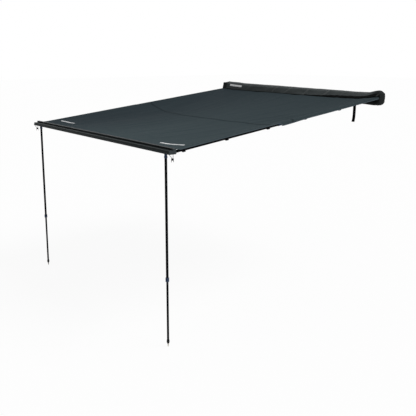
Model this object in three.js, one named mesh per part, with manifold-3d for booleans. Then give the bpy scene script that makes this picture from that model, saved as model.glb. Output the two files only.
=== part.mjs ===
// Vehicle side awning, opened out: a storage bag on a back rail, two telescopic rafters,
// a tensioned canopy, a front rail and two telescopic legs that fold up into it.
// Millimetres, +Z up. The origin is the middle of the back rail's rear face, +Y points to the
// vehicle and +X along the rails. The awning opens out towards -Y.

import * as THREE from 'three';
import { mergeVertices } from 'three/addons/utils/BufferGeometryUtils.js';
import Module from 'manifold-3d';

const wasm = await Module();
wasm.setup();

// Driving sizes of the whole awning
const railLength = 2500;
const reach = 2757;
const groundDrop = 1907;
const rafterSlope = THREE.MathUtils.degToRad(6.1);
const undersideClearance = 7.76;
const undersideDrop = reach * Math.tan(rafterSlope) + undersideClearance;
const legLean = THREE.MathUtils.degToRad(0.8);
const legSplay = THREE.MathUtils.degToRad(0.6);
const seatGap = 0.3;
const overrun = 5;
const roundSides = 24;

// Back rail: a hollow extrusion with a bolt slot behind and a bead groove in front
const backRailDepth = 28;
const backRailHeight = 46;
const backRailWall = 3;
const backRailEndInset = 28;
const backCapThickness = 6;
const backCapPlug = 12;
const boltSlotHeight = 11;
const boltSlotMouth = 9;
const boltSlotLip = 3.5;
const boltSlotWidth = 16;
const boltSlotDepth = 7;
const cornerRadius = 3;

// Bead that holds each end of the canopy, and the groove it slides into
const beadRadius = 3.6;
const beadClearance = 0.6;
const grooveMouth = 2.6;
const grooveLip = 1;
const backGrooveHeight = 16.5;
const canopyThickness = 1.5;

// Roof bracket: an angle bolted to the back rail
const bracketInset = 450;
const bracketWidth = 50;
const bracketPlate = 5;
const bracketFootLength = 90;
const bracketFootDrop = 35;
const bracketSlotLength = 34;
const bracketSlotWidth = 9;
const bracketSlotSetback = 28;
const boltRadius = 4;
const boltClearance = 0.3;
const boltHeadLength = 20;
const nutRadius = 7;
const nutHeight = 6.5;
const boltEndLength = 4;

// Rafters: an inner tube on the back rail slides into an outer tube on the front rail
const rafterInset = 35;
const rafterPivotSetback = 60;
const outerTubeRadius = 11;
const tubeWall = 1.3;
const slidingClearance = 0.4;
const rafterCollarReach = 1569;
const rafterOverlap = 80;
const collarLength = 36;
const rafterCollarRadius = 14;
const collarBoreClearance = 0.3;
const collarRibs = 8;
const collarRibDepth = 0.8;
const earThickness = 3;
const tongueHalfHeight = 6;
const pivotEarWidth = 20;
const pivotPlateThickness = 4;
const pivotPlateWidth = 21;
const pinRadius = 4;
const pinHeadRadius = 6.5;
const pinHeadHeight = 1.8;
const pinClearance = 0.3;
const plugLength = 40;
const tongueReach = 20;
const tipShoulder = 10;
const spigotRadius = 5;
const spigotLength = 14;

// Canopy: a sheet that lies on the rafters and sags between them
const canopyOverRafter = 15;
const canopySag = 88;
const sagEdgePower = 7;
const sagLengthPower = 0.8;
const hemOverhang = 16;
const hemBackOverhang = 6;
const hemFlareLength = 6;
const hemDropFront = 14;
const hemDropBack = 21;
const frontRampLength = 90;
const columnShares = [0, 0.24, 0.46, 0.64, 0.78, 0.88, 0.95, 1];
const canopyRows = 20;
const loopWidth = 22;
const loopThickness = 1.2;
const loopSlack = 2.2;
const loopSideClearance = 0.6;
const loopClearance = 3;
const loopPlaceShares = [0.046, 0.208, 0.383, 0.561, 0.745];

// Storage bag: a shell of coated fabric round the back rail, open to the front, with a flap
const bagDepth = 120;
const bagInset = 14;
const bagEndLength = 40;
const bagEndHeightShare = 0.45;
const bagEndDepthShare = 0.17;
const bagEndShares = [0, 0.38, 0.63, 0.82, 0.92, 0.97];
const flapEndShare = 0.82;
const endWallShares = [0.915, 0.945, 0.98, 1];
const bagTop = 78;
const bagDrop = 79;
const bagWall = 3;
const bagLipDrop = 38;
const flapHingeSetback = 114;
const flapHingeHeight = 48;
const flapReach = 76;
const flapRest = 1.6;
const flapHingeGap = 0.6;
const stationShares = [-1, -0.95, -0.85, -0.7, -0.47, -0.2, 0.08, 0.3, 0.55, 0.72, 0.86, 0.92, 0.96, 1];
const topShares = [1, 1.09, 1.05, 1.01, 0.97, 0.9, 0.82, 0.75, 0.68, 0.62, 0.63, 0.91, 1.02, 0.99];
const hingeShares = [1, 1, 1, 1, 1, 0.97, 0.92, 0.86, 0.78, 0.72, 0.67, 0.8, 0.9, 0.9];
const bellyShares = [1, 1, 0.98, 0.95, 0.93, 0.92, 0.92, 0.91, 0.9, 0.87, 1, 1.05, 1.04, 1];
const reachShares = [0.3, 0.32, 0.33, 0.34, 0.38, 0.5, 0.7, 0.85, 0.96, 1, 0.95, 0.8, 0.7, 0.62];
const strapInset = 358;
const strapWidth = 38;
const strapThickness = 1.6;
const strapLength = 212;
const strapCurl = 14;

// Front rail: an extrusion with a slotted lobe behind, a ledge in front of it, a groove and a
// flared lip on its face, and a channel below for the folded legs
const frontRailDepth = 64;
const frontRailHeight = 44;
const frontRailWall = 3;
const channelHeight = 25;
const lobeDepth = 28;
const lobeRadius = 2;
const ledgeDrop = 15;
const ledgeRadius = 5;
const lobeSlotDrop = 3;
const lobeSlotHeight = 10;
const lobeSlotDepth = 12;
const faceGrooveDrop = 23;
const faceGrooveDepth = 1.6;
const faceGrooveWidth = 4;
const lipHeight = 13;
const lipFlare = 3;
const frontGrooveHeight = 14.5;
const frontCapThickness = 10;
const capPlugLength = 10;

// Legs: each hangs on a pin in the channel and telescopes
const legInset = 75;
const legOffset = 13;
const legPinHeight = 8;
const legEarThickness = 3;
const legTongueHalfWidth = 8;
const legEarRadius = 8.5;
const legTongueRadius = 7.5;
const legBaseLength = 44;
const legPinRadius = 3;
const legPinHeadRadius = 5;
const legPinHeadHeight = 1.5;
const knuckleRadius = 13.2;
const knuckleStart = 9;
const knuckleLength = 36;
const knuckleNeckRadius = 11.2;
const knuckleRingLength = 15;
const upperTubeRadius = 10.5;
const legTubeWall = 1.1;
const legCollarHeight = 585;
const legCollarRadius = 15;
const legCollarLength = 34;
const legOverlap = 420;
const footRadius = 12;
const footLength = 40;
const footPlugLength = 30;
const spikeLength = 28;
const spikeRadius = 5;
const spikeTipRadius = 2.5;
const spikeShankLength = 20;

// Guy line loop in each front end cap
const cordRadius = 1.75;
const cordHoleClearance = 0.35;
const cordHoleDepth = 9;
const cordFrontHole = -27;
const cordBackHole = 5;
const lockCentre = -1;
const lockWidth = 18;
const lockThickness = 8;
const lockHeight = 16;
const lockTop = -52;
const cordTurnRadius = 5;
const cordTailLength = 15;
const cordTailSplay = 16;
const cordSteps = 24;

// Colours and finishes
const black = new THREE.MeshStandardMaterial({ color: 0x1d1f21, roughness: 0.45, metalness: 0.3 });
const railBlack = new THREE.MeshStandardMaterial({ color: 0x2b2e30, roughness: 0.5, metalness: 0.4 });
const plastic = new THREE.MeshStandardMaterial({ color: 0x1a1b1d, roughness: 0.6, metalness: 0 });
const darkGrey = new THREE.MeshStandardMaterial({ color: 0x3c4244, roughness: 0.6, metalness: 0 });
const collarBlue = new THREE.MeshStandardMaterial({ color: 0x37465f, roughness: 0.55, metalness: 0 });
const steel = new THREE.MeshStandardMaterial({ color: 0xa9a79c, roughness: 0.35, metalness: 0.9 });
const canopyCloth = new THREE.MeshStandardMaterial({ color: 0x40484b, roughness: 0.9, metalness: 0 });
const bagCloth = new THREE.MeshStandardMaterial({ color: 0x323435, roughness: 0.8, metalness: 0 });
const webbing = new THREE.MeshStandardMaterial({ color: 0x17181a, roughness: 0.95, metalness: 0 });

// Places worked out from the driving sizes
const frontRailY = -reach - rafterPivotSetback;
const frontRailZ = -undersideDrop + frontRailHeight / 2;
const rafterX = railLength / 2 - rafterInset;
const innerTubeRadius = outerTubeRadius - tubeWall - slidingClearance;
const lowerTubeRadius = upperTubeRadius - legTubeWall - slidingClearance;
const rafterLine = (y) => Math.tan(rafterSlope) * (y + rafterPivotSetback);
const slopeSin = Math.sin(rafterSlope);
const slopeCos = Math.cos(rafterSlope);
const leanSin = Math.sin(legLean);
const leanCos = Math.cos(legLean);
const faceReach = (reach * leanCos - frontRailDepth / 2 + frontRailZ * leanSin) / Math.cos(rafterSlope + legLean);
const tipReach = faceReach - tipShoulder - 2 * seatGap;
const innerTubeReach = rafterCollarReach + rafterOverlap;
const beadY = -backRailDepth + grooveLip + beadRadius + beadClearance;
const frontBeadY = frontRailDepth / 2 - grooveLip - beadRadius - beadClearance;
const legLength = groundDrop - undersideDrop + legPinHeight;
const legCollarDrop = legLength - legCollarHeight;

const root = new THREE.Group();

// Solid helpers

function tidy(geometry) {
  const bare = geometry.index ? geometry.toNonIndexed() : geometry.clone();
  bare.deleteAttribute('normal');
  bare.deleteAttribute('uv');
  const merged = mergeVertices(bare, 1e-4);
  const index = merged.index.array;
  const kept = [];
  for (let i = 0; i < index.length; i += 3) {
    const [a, b, c] = [index[i], index[i + 1], index[i + 2]];
    if (a !== b && b !== c && c !== a) {
      kept.push(a, b, c);
    }
  }
  merged.setIndex(kept);
  return merged;
}

function signedVolume(geometry) {
  const p = geometry.attributes.position;
  const index = geometry.index.array;
  const [a, b, c] = [new THREE.Vector3(), new THREE.Vector3(), new THREE.Vector3()];
  let sum = 0;
  for (let i = 0; i < index.length; i += 3) {
    a.fromBufferAttribute(p, index[i]);
    b.fromBufferAttribute(p, index[i + 1]);
    c.fromBufferAttribute(p, index[i + 2]);
    sum += a.dot(b.cross(c));
  }
  return sum;
}

function solid(geometry) {
  const merged = tidy(geometry);
  const index = Array.from(merged.index.array);
  if (signedVolume(merged) < 0) {
    for (let i = 0; i < index.length; i += 3) {
      [index[i], index[i + 1]] = [index[i + 1], index[i]];
    }
  }
  return new wasm.Manifold(new wasm.Mesh({
    numProp: 3,
    vertProperties: new Float32Array(merged.attributes.position.array),
    triVerts: new Uint32Array(index),
  }));
}

function geometryOf(manifold) {
  const mesh = manifold.getMesh();
  const geometry = new THREE.BufferGeometry();
  geometry.setAttribute('position', new THREE.BufferAttribute(new Float32Array(mesh.vertProperties), 3));
  geometry.setIndex(Array.from(mesh.triVerts));
  geometry.computeVertexNormals();
  return geometry;
}

function unite(...parts) {
  return parts.reduce((a, b) => a.add(b));
}

function moved(geometry, x, y, z) {
  geometry.translate(x, y, z);
  return geometry;
}

function box(x0, x1, y0, y1, z0, z1) {
  const geometry = new THREE.BoxGeometry(x1 - x0, y1 - y0, z1 - z0);
  return solid(moved(geometry, (x0 + x1) / 2, (y0 + y1) / 2, (z0 + z1) / 2));
}

// A round bar or ring along Z, from pairs of radius and height that go up the outside
function turned(profile, sides = roundSides) {
  const points = profile.map(([r, z]) => new THREE.Vector2(r, z));
  const geometry = new THREE.LatheGeometry(points, sides);
  geometry.rotateX(Math.PI / 2);
  return geometry;
}

function barZ(radius, z0, z1, sides = roundSides) {
  return solid(turned([[0, z0], [radius, z0], [radius, z1], [0, z1]], sides));
}

function pipeZ(outer, inner, z0, z1) {
  return solid(turned([[inner, z0], [outer, z0], [outer, z1], [inner, z1], [inner, z0]]));
}

function barY(radius, y0, y1, sides = roundSides) {
  const geometry = turned([[0, y0], [radius, y0], [radius, y1], [0, y1]], sides);
  geometry.rotateX(-Math.PI / 2);
  return solid(geometry);
}

// An outline in (y, z) carried along X
function profileX(outline, x0, x1) {
  const shape = new THREE.Shape(outline.map(([y, z]) => new THREE.Vector2(y, z)));
  const geometry = new THREE.ExtrudeGeometry(shape, { depth: x1 - x0, bevelEnabled: false });
  geometry.applyMatrix4(new THREE.Matrix4().makeBasis(
    new THREE.Vector3(0, 1, 0),
    new THREE.Vector3(0, 0, 1),
    new THREE.Vector3(1, 0, 0),
  ));
  return solid(moved(geometry, x0, 0, 0));
}

// An outline in (x, z) carried along Y
function profileY(outline, y0, y1) {
  const shape = new THREE.Shape(outline.map(([x, z]) => new THREE.Vector2(x, z)));
  const geometry = new THREE.ExtrudeGeometry(shape, { depth: y1 - y0, bevelEnabled: false });
  geometry.applyMatrix4(new THREE.Matrix4().makeBasis(
    new THREE.Vector3(1, 0, 0),
    new THREE.Vector3(0, 0, 1),
    new THREE.Vector3(0, 1, 0),
  ));
  return solid(moved(geometry, 0, y0, 0));
}

// An outline in (x, y) carried along Z
function profileZ(outline, z0, z1) {
  const shape = new THREE.Shape(outline.map(([x, y]) => new THREE.Vector2(x, y)));
  const geometry = new THREE.ExtrudeGeometry(shape, { depth: z1 - z0, bevelEnabled: false });
  return solid(moved(geometry, 0, 0, z0));
}

function arc(cx, cy, radius, from, to, steps) {
  const points = [];
  for (let i = 0; i <= steps; i += 1) {
    const angle = THREE.MathUtils.degToRad(from + ((to - from) * i) / steps);
    points.push([cx + radius * Math.cos(angle), cy + radius * Math.sin(angle)]);
  }
  return points;
}

function rectangle(y0, y1, z0, z1) {
  return [[y0, z0], [y1, z0], [y1, z1], [y0, z1]];
}

// The round groove for a bead, whose mouth opens towards the given side
function grooveCut(centreY, centreZ, side, x0, x1) {
  const radius = beadRadius + beadClearance;
  const round = arc(centreY, centreZ, radius, 0, 360 - 360 / 16, 15);
  const mouthEnd = centreY + side * (radius + grooveLip + overrun);
  const mouth = rectangle(
    Math.min(centreY, mouthEnd),
    Math.max(centreY, mouthEnd),
    centreZ - grooveMouth / 2,
    centreZ + grooveMouth / 2,
  );
  return unite(profileX(round, x0, x1), profileX(mouth, x0, x1));
}

function add(name, manifold, material, parent = root) {
  const mesh = new THREE.Mesh(geometryOf(manifold), material);
  mesh.name = name;
  parent.add(mesh);
  return mesh;
}

const sides = [{ word: 'left', sign: -1 }, { word: 'right', sign: 1 }];

// Back rail and what is fixed to it

const backRailHalf = railLength / 2 - backRailEndInset;
const backHollow = rectangle(
  -backRailDepth + backRailWall,
  -backRailWall,
  -backRailHeight / 2 + backRailWall,
  boltSlotHeight - boltSlotWidth / 2 - backRailWall,
);

function makeBackRail() {
  const r = cornerRadius;
  const [half, depth] = [backRailHeight / 2, backRailDepth];
  const outline = [
    [0, -half],
    [0, half],
    ...arc(-depth + r, half - r, r, 90, 180, 4),
    ...arc(-depth + r, -half + r, r, 180, 270, 4),
  ];
  const cutHalf = backRailHalf + overrun;
  const body = profileX(outline, -backRailHalf, backRailHalf).subtract(profileX(backHollow, -cutHalf, cutHalf));
  const slotZ = boltSlotHeight;
  const mouth = profileX(
    rectangle(-boltSlotLip - overrun / 2, overrun, slotZ - boltSlotMouth / 2, slotZ + boltSlotMouth / 2),
    -cutHalf,
    cutHalf,
  );
  const chamber = profileX(
    rectangle(-boltSlotLip - boltSlotDepth, -boltSlotLip, slotZ - boltSlotWidth / 2, slotZ + boltSlotWidth / 2),
    -cutHalf,
    cutHalf,
  );
  const groove = grooveCut(beadY, backGrooveHeight, -1, -cutHalf, cutHalf);
  add('back_rail', body.subtract(mouth).subtract(chamber).subtract(groove), railBlack);
}

function makeBackCap({ word, sign }) {
  const half = backRailHeight / 2;
  const near = sign * (backRailHalf + seatGap);
  const far = near + sign * backCapThickness;
  const plate = profileX(
    rectangle(-backRailDepth, 0, -half, half),
    Math.min(near, far),
    Math.max(near, far),
  );
  const inner = sign * (backRailHalf - backCapPlug);
  const plug = profileX(
    [
      [backHollow[0][0] + seatGap, backHollow[0][1] + seatGap],
      [backHollow[1][0] - seatGap, backHollow[1][1] + seatGap],
      [backHollow[2][0] - seatGap, backHollow[2][1] - seatGap],
      [backHollow[3][0] + seatGap, backHollow[3][1] - seatGap],
    ],
    Math.min(near + sign * backCapThickness / 2, inner),
    Math.max(near + sign * backCapThickness / 2, inner),
  );
  add(`back_rail_cap_${word}`, unite(plate, plug), plastic);
}

function makeRoofBracket({ word, sign }) {
  const x = sign * (railLength / 2 - bracketInset);
  const [x0, x1] = [x - bracketWidth / 2, x + bracketWidth / 2];
  const plate = box(x0, x1, seatGap, seatGap + bracketPlate, -bracketFootDrop, backRailHeight / 2);
  const foot = box(
    x0,
    x1,
    seatGap,
    seatGap + bracketFootLength,
    -bracketFootDrop,
    -bracketFootDrop + bracketPlate,
  );
  const hole = barY(boltRadius + boltClearance, -overrun, bracketPlate + overrun).translate(
    [x, 0, boltSlotHeight],
  );
  const slotEnd = bracketSlotLength / 2 - bracketSlotWidth / 2;
  const slotCentre = seatGap + bracketFootLength - bracketSlotSetback;
  const slotCuts = [-1, 1].map((step) => profileZ(
    [
      ...arc(x + (step * bracketWidth) / 4, slotCentre + slotEnd, bracketSlotWidth / 2, 0, 180, 6),
      ...arc(x + (step * bracketWidth) / 4, slotCentre - slotEnd, bracketSlotWidth / 2, 180, 360, 6),
    ],
    -bracketFootDrop - overrun,
    -bracketFootDrop + bracketPlate + overrun,
  ));
  let bracket = unite(plate, foot).subtract(hole);
  slotCuts.forEach((cut) => {
    bracket = bracket.subtract(cut);
  });
  add(`roof_bracket_${word}`, bracket, black);
  makeBracketBolt(word, x);
}

// A T-headed bolt in the rail's slot, with its nut on the bracket
function makeBracketBolt(word, x) {
  const headBack = -boltSlotLip - seatGap;
  const headFront = -boltSlotLip - boltSlotDepth + seatGap;
  const head = box(
    -boltHeadLength / 2,
    boltHeadLength / 2,
    headFront,
    headBack,
    -boltSlotWidth / 2 + seatGap,
    boltSlotWidth / 2 - seatGap,
  );
  const nutStart = 2 * seatGap + bracketPlate;
  const shank = barY(boltRadius, headBack - boltSlotLip / 2, nutStart + nutHeight + boltEndLength, 16);
  const nut = barY(nutRadius, nutStart, nutStart + nutHeight, 6);
  add(`bracket_bolt_${word}`, unite(head, shank, nut).translate([x, 0, boltSlotHeight]), steel);
}

// A bead is a round cord sewn into the end of the canopy
function makeBead(name, y, z, parent) {
  add(name, profileX(arc(y, z, beadRadius, 0, 330, 11), -rafterX, rafterX), plastic, parent);
}

// Rafters: each is drawn along its own line, with its pivot at the origin of its group and
// the tube running towards -Y

function rafterGroup(sign) {
  const group = new THREE.Group();
  group.position.set(sign * rafterX, -rafterPivotSetback, 0);
  group.rotation.x = rafterSlope;
  root.add(group);
  return group;
}

function makePivotBracket(word, group) {
  const earInner = tongueHalfHeight + seatGap;
  const earOuter = earInner + earThickness;
  const faceDistance = rafterPivotSetback - backRailDepth - seatGap;
  const half = pivotEarWidth / 2;
  const ear = [[-half, faceDistance], [-half, 0], ...arc(0, 0, half, 180, 360, 10), [half, faceDistance]];
  const ears = unite(profileZ(ear, earInner, earOuter), profileZ(ear, -earOuter, -earInner));
  const turn = -THREE.MathUtils.radToDeg(rafterSlope);
  const level = ears.rotate([-turn, 0, 0]);
  const plate = box(
    -pivotPlateWidth / 2,
    pivotPlateWidth / 2,
    faceDistance - pivotPlateThickness,
    faceDistance,
    -earOuter,
    earOuter + pivotPlateThickness / 2,
  );
  const behind = box(
    -pivotPlateWidth,
    pivotPlateWidth,
    faceDistance,
    faceDistance + backRailDepth,
    -backRailHeight,
    backRailHeight,
  );
  const hole = barZ(pinRadius + pinClearance, -earOuter - overrun, earOuter + overrun);
  const bracket = unite(level, plate).subtract(behind).rotate([turn, 0, 0]).subtract(hole);
  add(`rafter_pivot_bracket_${word}`, bracket, black, group);
}

function makePivotPin(word, group) {
  const seat = tongueHalfHeight + seatGap + earThickness + seatGap;
  const end = seat + pinHeadHeight;
  const pin = solid(turned([
    [0, -end],
    [pinHeadRadius, -end],
    [pinHeadRadius, -seat],
    [pinRadius, -seat],
    [pinRadius, seat],
    [pinHeadRadius, seat],
    [pinHeadRadius, end],
    [0, end],
  ], 16));
  add(`rafter_pivot_pin_${word}`, pin, steel, group);
}

function makeInnerRafter(word, group) {
  const plugStart = tongueReach;
  const tube = pipeZ(innerTubeRadius, innerTubeRadius - tubeWall, plugStart, innerTubeReach);
  const plug = barZ(innerTubeRadius - tubeWall / 2, plugStart, plugStart + plugLength);
  const along = unite(tube, plug).rotate([90, 0, 0]);
  const width = innerTubeRadius;
  const tongue = profileZ(
    [[-width, -plugStart - tubeWall], [width, -plugStart - tubeWall], ...arc(0, 0, width, 0, 180, 10)],
    -tongueHalfHeight,
    tongueHalfHeight,
  );
  const hole = barZ(pinRadius + pinClearance, -innerTubeRadius, innerTubeRadius);
  add(`rafter_inner_tube_${word}`, unite(along, tongue).subtract(hole), black, group);
}

function makeOuterRafter(word, group) {
  const tube = pipeZ(outerTubeRadius, outerTubeRadius - tubeWall, rafterCollarReach, tipReach);
  add(`rafter_outer_tube_${word}`, tube.rotate([90, 0, 0]), black, group);
}

// A twist collar: a ribbed sleeve over the end of an outer tube, closed down to the inner tube
function collar(radius, length, outerTube, innerTube) {
  const half = length / 2;
  const body = solid(turned([
    [outerTube + collarBoreClearance, 0],
    [outerTube + collarBoreClearance, half],
    [radius - collarRibDepth * 2, half],
    [radius, half - collarRibDepth * 3],
    [radius, -half + collarRibDepth * 3],
    [radius - collarRibDepth * 2, -half],
    [innerTube + collarBoreClearance, -half],
    [innerTube + collarBoreClearance, 0],
    [outerTube + collarBoreClearance, 0],
  ], collarRibs * 2));
  let cut = body;
  for (let i = 0; i < collarRibs; i += 1) {
    const angle = (360 * i) / collarRibs;
    const groove = box(
      radius - collarRibDepth,
      radius + overrun,
      -collarRibDepth,
      collarRibDepth,
      -half + collarRibDepth * 5,
      half - collarRibDepth * 5,
    );
    cut = cut.subtract(groove.rotate([0, 0, angle]));
  }
  return cut;
}

function makeRafterCollar(word, group) {
  const sleeve = collar(rafterCollarRadius, collarLength, outerTubeRadius, innerTubeRadius);
  const along = sleeve.rotate([90, 0, 0]).translate([0, -rafterCollarReach + seatGap, 0]);
  add(`rafter_collar_${word}`, along, collarBlue, group);
}

function makeRafterTip(word, group) {
  const inner = outerTubeRadius - tubeWall - seatGap;
  const start = tipReach + seatGap;
  const plug = barZ(inner, tipReach - plugLength, start + tipShoulder / 2);
  const shoulder = barZ(outerTubeRadius, start, start + tipShoulder * 2);
  const spigot = barZ(spigotRadius, start, faceReach + spigotLength, 16);
  const wide = outerTubeRadius * 4;
  const beyond = box(-wide, wide, -wide, wide, 0, wide);
  const turn = THREE.MathUtils.radToDeg(rafterSlope + legLean);
  const face = beyond.rotate([-turn, 0, 0]).translate([0, 0, faceReach - seatGap]);
  const trimmed = unite(plug, shoulder).subtract(face);
  add(`rafter_tip_${word}`, unite(trimmed, spigot).rotate([90, 0, 0]), plastic, group);
}

// Front assembly: drawn about the rail's own centre and rolled with the leaning legs

const frontGroup = new THREE.Group();
frontGroup.position.set(0, frontRailY, frontRailZ);
frontGroup.rotation.x = -legLean;
root.add(frontGroup);

const frontTop = frontRailHeight / 2;
const frontHalf = frontRailDepth / 2;
const frontRailHalf = railLength / 2 - frontCapThickness - seatGap;
const channelTop = -frontTop + channelHeight;

const lobeFront = frontHalf - lobeDepth;
const lobeSlot = rectangle(
  lobeFront + lobeSlotDepth,
  lobeFront,
  frontTop - lobeSlotDrop - lobeSlotHeight,
  frontTop - lobeSlotDrop,
);

// The rail's outside, from the bottom of its rear face over the top to the bottom of its front face
function frontOutside() {
  const r = cornerRadius;
  const ledge = frontTop - ledgeDrop;
  const grooveTop = frontTop - faceGrooveDrop;
  const grooveBottom = grooveTop - faceGrooveWidth;
  return [
    [frontHalf, -frontTop],
    ...arc(frontHalf - r, frontTop - r, r, 0, 90, 4),
    ...arc(lobeFront + lobeRadius, frontTop - lobeRadius, lobeRadius, 90, 180, 4),
    [lobeFront, ledge],
    ...arc(-frontHalf + ledgeRadius, ledge - ledgeRadius, ledgeRadius, 90, 180, 6),
    [-frontHalf, grooveTop],
    [-frontHalf + faceGrooveDepth, grooveTop - faceGrooveDepth],
    [-frontHalf + faceGrooveDepth, grooveBottom + faceGrooveDepth],
    [-frontHalf, grooveBottom],
    [-frontHalf, -frontTop + lipHeight],
    [-frontHalf - lipFlare, -frontTop + lipHeight - lipFlare],
    [-frontHalf - lipFlare, -frontTop],
  ];
}

function makeFrontRail() {
  const wall = frontRailWall;
  const inside = [
    [-frontHalf + wall, -frontTop - overrun],
    ...arc(-frontHalf + wall + cornerRadius, channelTop - cornerRadius, cornerRadius, 180, 90, 3),
    ...arc(frontHalf - wall - cornerRadius, channelTop - cornerRadius, cornerRadius, 90, 0, 3),
    [frontHalf - wall, -frontTop - overrun],
  ];
  const slot = lobeSlot.map(([y, z]) => [y === lobeFront ? y - overrun / 2 : y, z]);
  const cutHalf = frontRailHalf + overrun;
  const body = profileX(frontOutside(), -frontRailHalf, frontRailHalf);
  const cuts = [inside, slot].map((outline) => profileX(outline, -cutHalf, cutHalf));
  const groove = grooveCut(frontBeadY, frontGrooveHeight, 1, -cutHalf, cutHalf);
  let rail = cuts.reduce((a, b) => a.subtract(b), body).subtract(groove);
  sides.forEach(({ sign }) => {
    rail = rail.subtract(spigotHole(sign));
  });
  add('front_rail', rail, railBlack, frontGroup);
}

// Where a rafter meets the rail's rear face, in the rail's own frame
function spigotHole(sign) {
  const seat = new THREE.Vector3(0, -rafterPivotSetback - faceReach * slopeCos, -faceReach * slopeSin);
  seat.sub(frontGroup.position).applyAxisAngle(new THREE.Vector3(1, 0, 0), legLean);
  const bore = spigotRadius + boltClearance * 2;
  const hole = barY(bore, -spigotLength * 2, overrun * 2, 16);
  const turn = THREE.MathUtils.radToDeg(rafterSlope + legLean);
  return hole.rotate([turn, 0, 0]).translate([sign * rafterX, seat.y, seat.z]);
}

function makeFrontCap({ word, sign }) {
  const near = sign * (frontRailHalf + seatGap);
  const far = (sign * railLength) / 2;
  const [x0, x1] = [Math.min(near, far), Math.max(near, far)];
  const plate = profileX(frontOutside(), x0, x1);
  const plugEnd = sign * (frontRailHalf - capPlugLength);
  const middle = near + (sign * frontCapThickness) / 2;
  const [[slotBack, slotLow], , [slotFront, slotHigh]] = lobeSlot;
  const plug = profileX(
    rectangle(slotFront + seatGap, slotBack - seatGap, slotLow + seatGap, slotHigh - seatGap),
    Math.min(plugEnd, middle),
    Math.max(plugEnd, middle),
  );
  let cap = unite(plate, plug);
  [cordFrontHole, cordBackHole].forEach((y) => {
    const hole = barZ(cordRadius + cordHoleClearance, -frontTop - overrun, -frontTop + cordHoleDepth, 12);
    cap = cap.subtract(hole.translate([(near + far) / 2, y, 0]));
  });
  add(`front_rail_cap_${word}`, cap, darkGrey, frontGroup);
}

// Legs: each group has its pin at the origin and the leg hanging towards -Z

function legGroup(sign, splay) {
  const group = new THREE.Group();
  group.position.set(sign * (railLength / 2 - legInset), -sign * legOffset, -frontTop + legPinHeight);
  group.rotation.y = -sign * splay;
  frontGroup.add(group);
  return group;
}

function makeLegBracket(word, group) {
  const base = channelTop + frontTop - legPinHeight - seatGap;
  const inner = legTongueHalfWidth + seatGap;
  const outer = inner + legEarThickness;
  const outline = [
    [legEarRadius, base],
    [-legEarRadius, base],
    ...arc(0, 0, legEarRadius, 180, 360, 12),
  ];
  const ears = unite(profileY(outline, inner, outer), profileY(outline, -outer, -inner));
  const plate = box(-legBaseLength / 2, legBaseLength / 2, -outer, outer, base - legEarThickness, base);
  const hole = barY(legPinRadius + pinClearance, -outer - overrun, outer + overrun);
  add(`leg_bracket_${word}`, unite(ears, plate).subtract(hole), black, group);
}

function makeLegPin(word, group) {
  const seat = legTongueHalfWidth + seatGap + legEarThickness + seatGap;
  const end = seat + legPinHeadHeight;
  const pin = turned([
    [0, -end],
    [legPinHeadRadius, -end],
    [legPinHeadRadius, -seat],
    [legPinRadius, -seat],
    [legPinRadius, seat],
    [legPinHeadRadius, seat],
    [legPinHeadRadius, end],
    [0, end],
  ], 16);
  pin.rotateX(Math.PI / 2);
  add(`leg_pin_${word}`, solid(pin), steel, group);
}

function makeKnuckle(word, group) {
  const end = knuckleStart + knuckleLength;
  const chamfer = cornerRadius;
  const body = solid(turned([
    [0, -end - plugLength],
    [upperTubeRadius - legTubeWall - seatGap, -end - plugLength],
    [upperTubeRadius - legTubeWall - seatGap, -end],
    [knuckleRadius - chamfer, -end],
    [knuckleRadius, -end + chamfer],
    [knuckleRadius, -end + knuckleRingLength],
    [knuckleNeckRadius, -end + knuckleRingLength + chamfer],
    [knuckleNeckRadius, -knuckleStart],
    [0, -knuckleStart],
  ]));
  const tongue = profileY(
    [
      [-legTongueRadius, -knuckleStart - chamfer],
      [legTongueRadius, -knuckleStart - chamfer],
      ...arc(0, 0, legTongueRadius, 0, 180, 12),
    ],
    -legTongueHalfWidth,
    legTongueHalfWidth,
  );
  const hole = barY(legPinRadius + pinClearance, -knuckleRadius, knuckleRadius);
  add(`leg_knuckle_${word}`, unite(body, tongue).subtract(hole), collarBlue, group);
}

function makeUpperLeg(word, group) {
  const start = knuckleStart + knuckleLength + seatGap;
  const tube = pipeZ(upperTubeRadius, upperTubeRadius - legTubeWall, -legCollarDrop, -start);
  add(`leg_upper_tube_${word}`, tube, black, group);
}

function makeLegCollar(word, group) {
  const sleeve = collar(legCollarRadius, legCollarLength, upperTubeRadius, lowerTubeRadius);
  add(`leg_collar_${word}`, sleeve.translate([0, 0, -legCollarDrop - seatGap]), collarBlue, group);
}

function makeLowerLeg(word, group) {
  const end = legLength - spikeLength - footLength;
  const top = -legCollarDrop + legOverlap;
  add(`leg_lower_tube_${word}`, pipeZ(lowerTubeRadius, lowerTubeRadius - legTubeWall, -end, top), black, group);
}

function makeFoot(word, group) {
  const bottom = -legLength + spikeLength;
  const top = bottom + footLength - seatGap;
  const plugRadius = lowerTubeRadius - legTubeWall - seatGap;
  const foot = solid(turned([
    [0, bottom],
    [footRadius * 0.6, bottom],
    [footRadius, bottom + footLength * 0.3],
    [footRadius, bottom + footLength * 0.6],
    [lowerTubeRadius, top],
    [plugRadius, top],
    [plugRadius, top + footPlugLength],
    [0, top + footPlugLength],
  ], 16));
  const bore = barZ(spikeRadius + seatGap, bottom - overrun, bottom + spikeShankLength + seatGap, 16);
  add(`leg_foot_${word}`, foot.subtract(bore), plastic, group);
  const spike = solid(turned([
    [0, -legLength],
    [spikeTipRadius, -legLength],
    [spikeRadius, -legLength + spikeLength * 0.5],
    [spikeRadius, bottom + spikeShankLength],
    [0, bottom + spikeShankLength],
  ], 12));
  add(`leg_spike_${word}`, spike, steel, group);
}

// Guy line loops: a short cord from one hole of the end cap through a lock and back to the other

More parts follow.
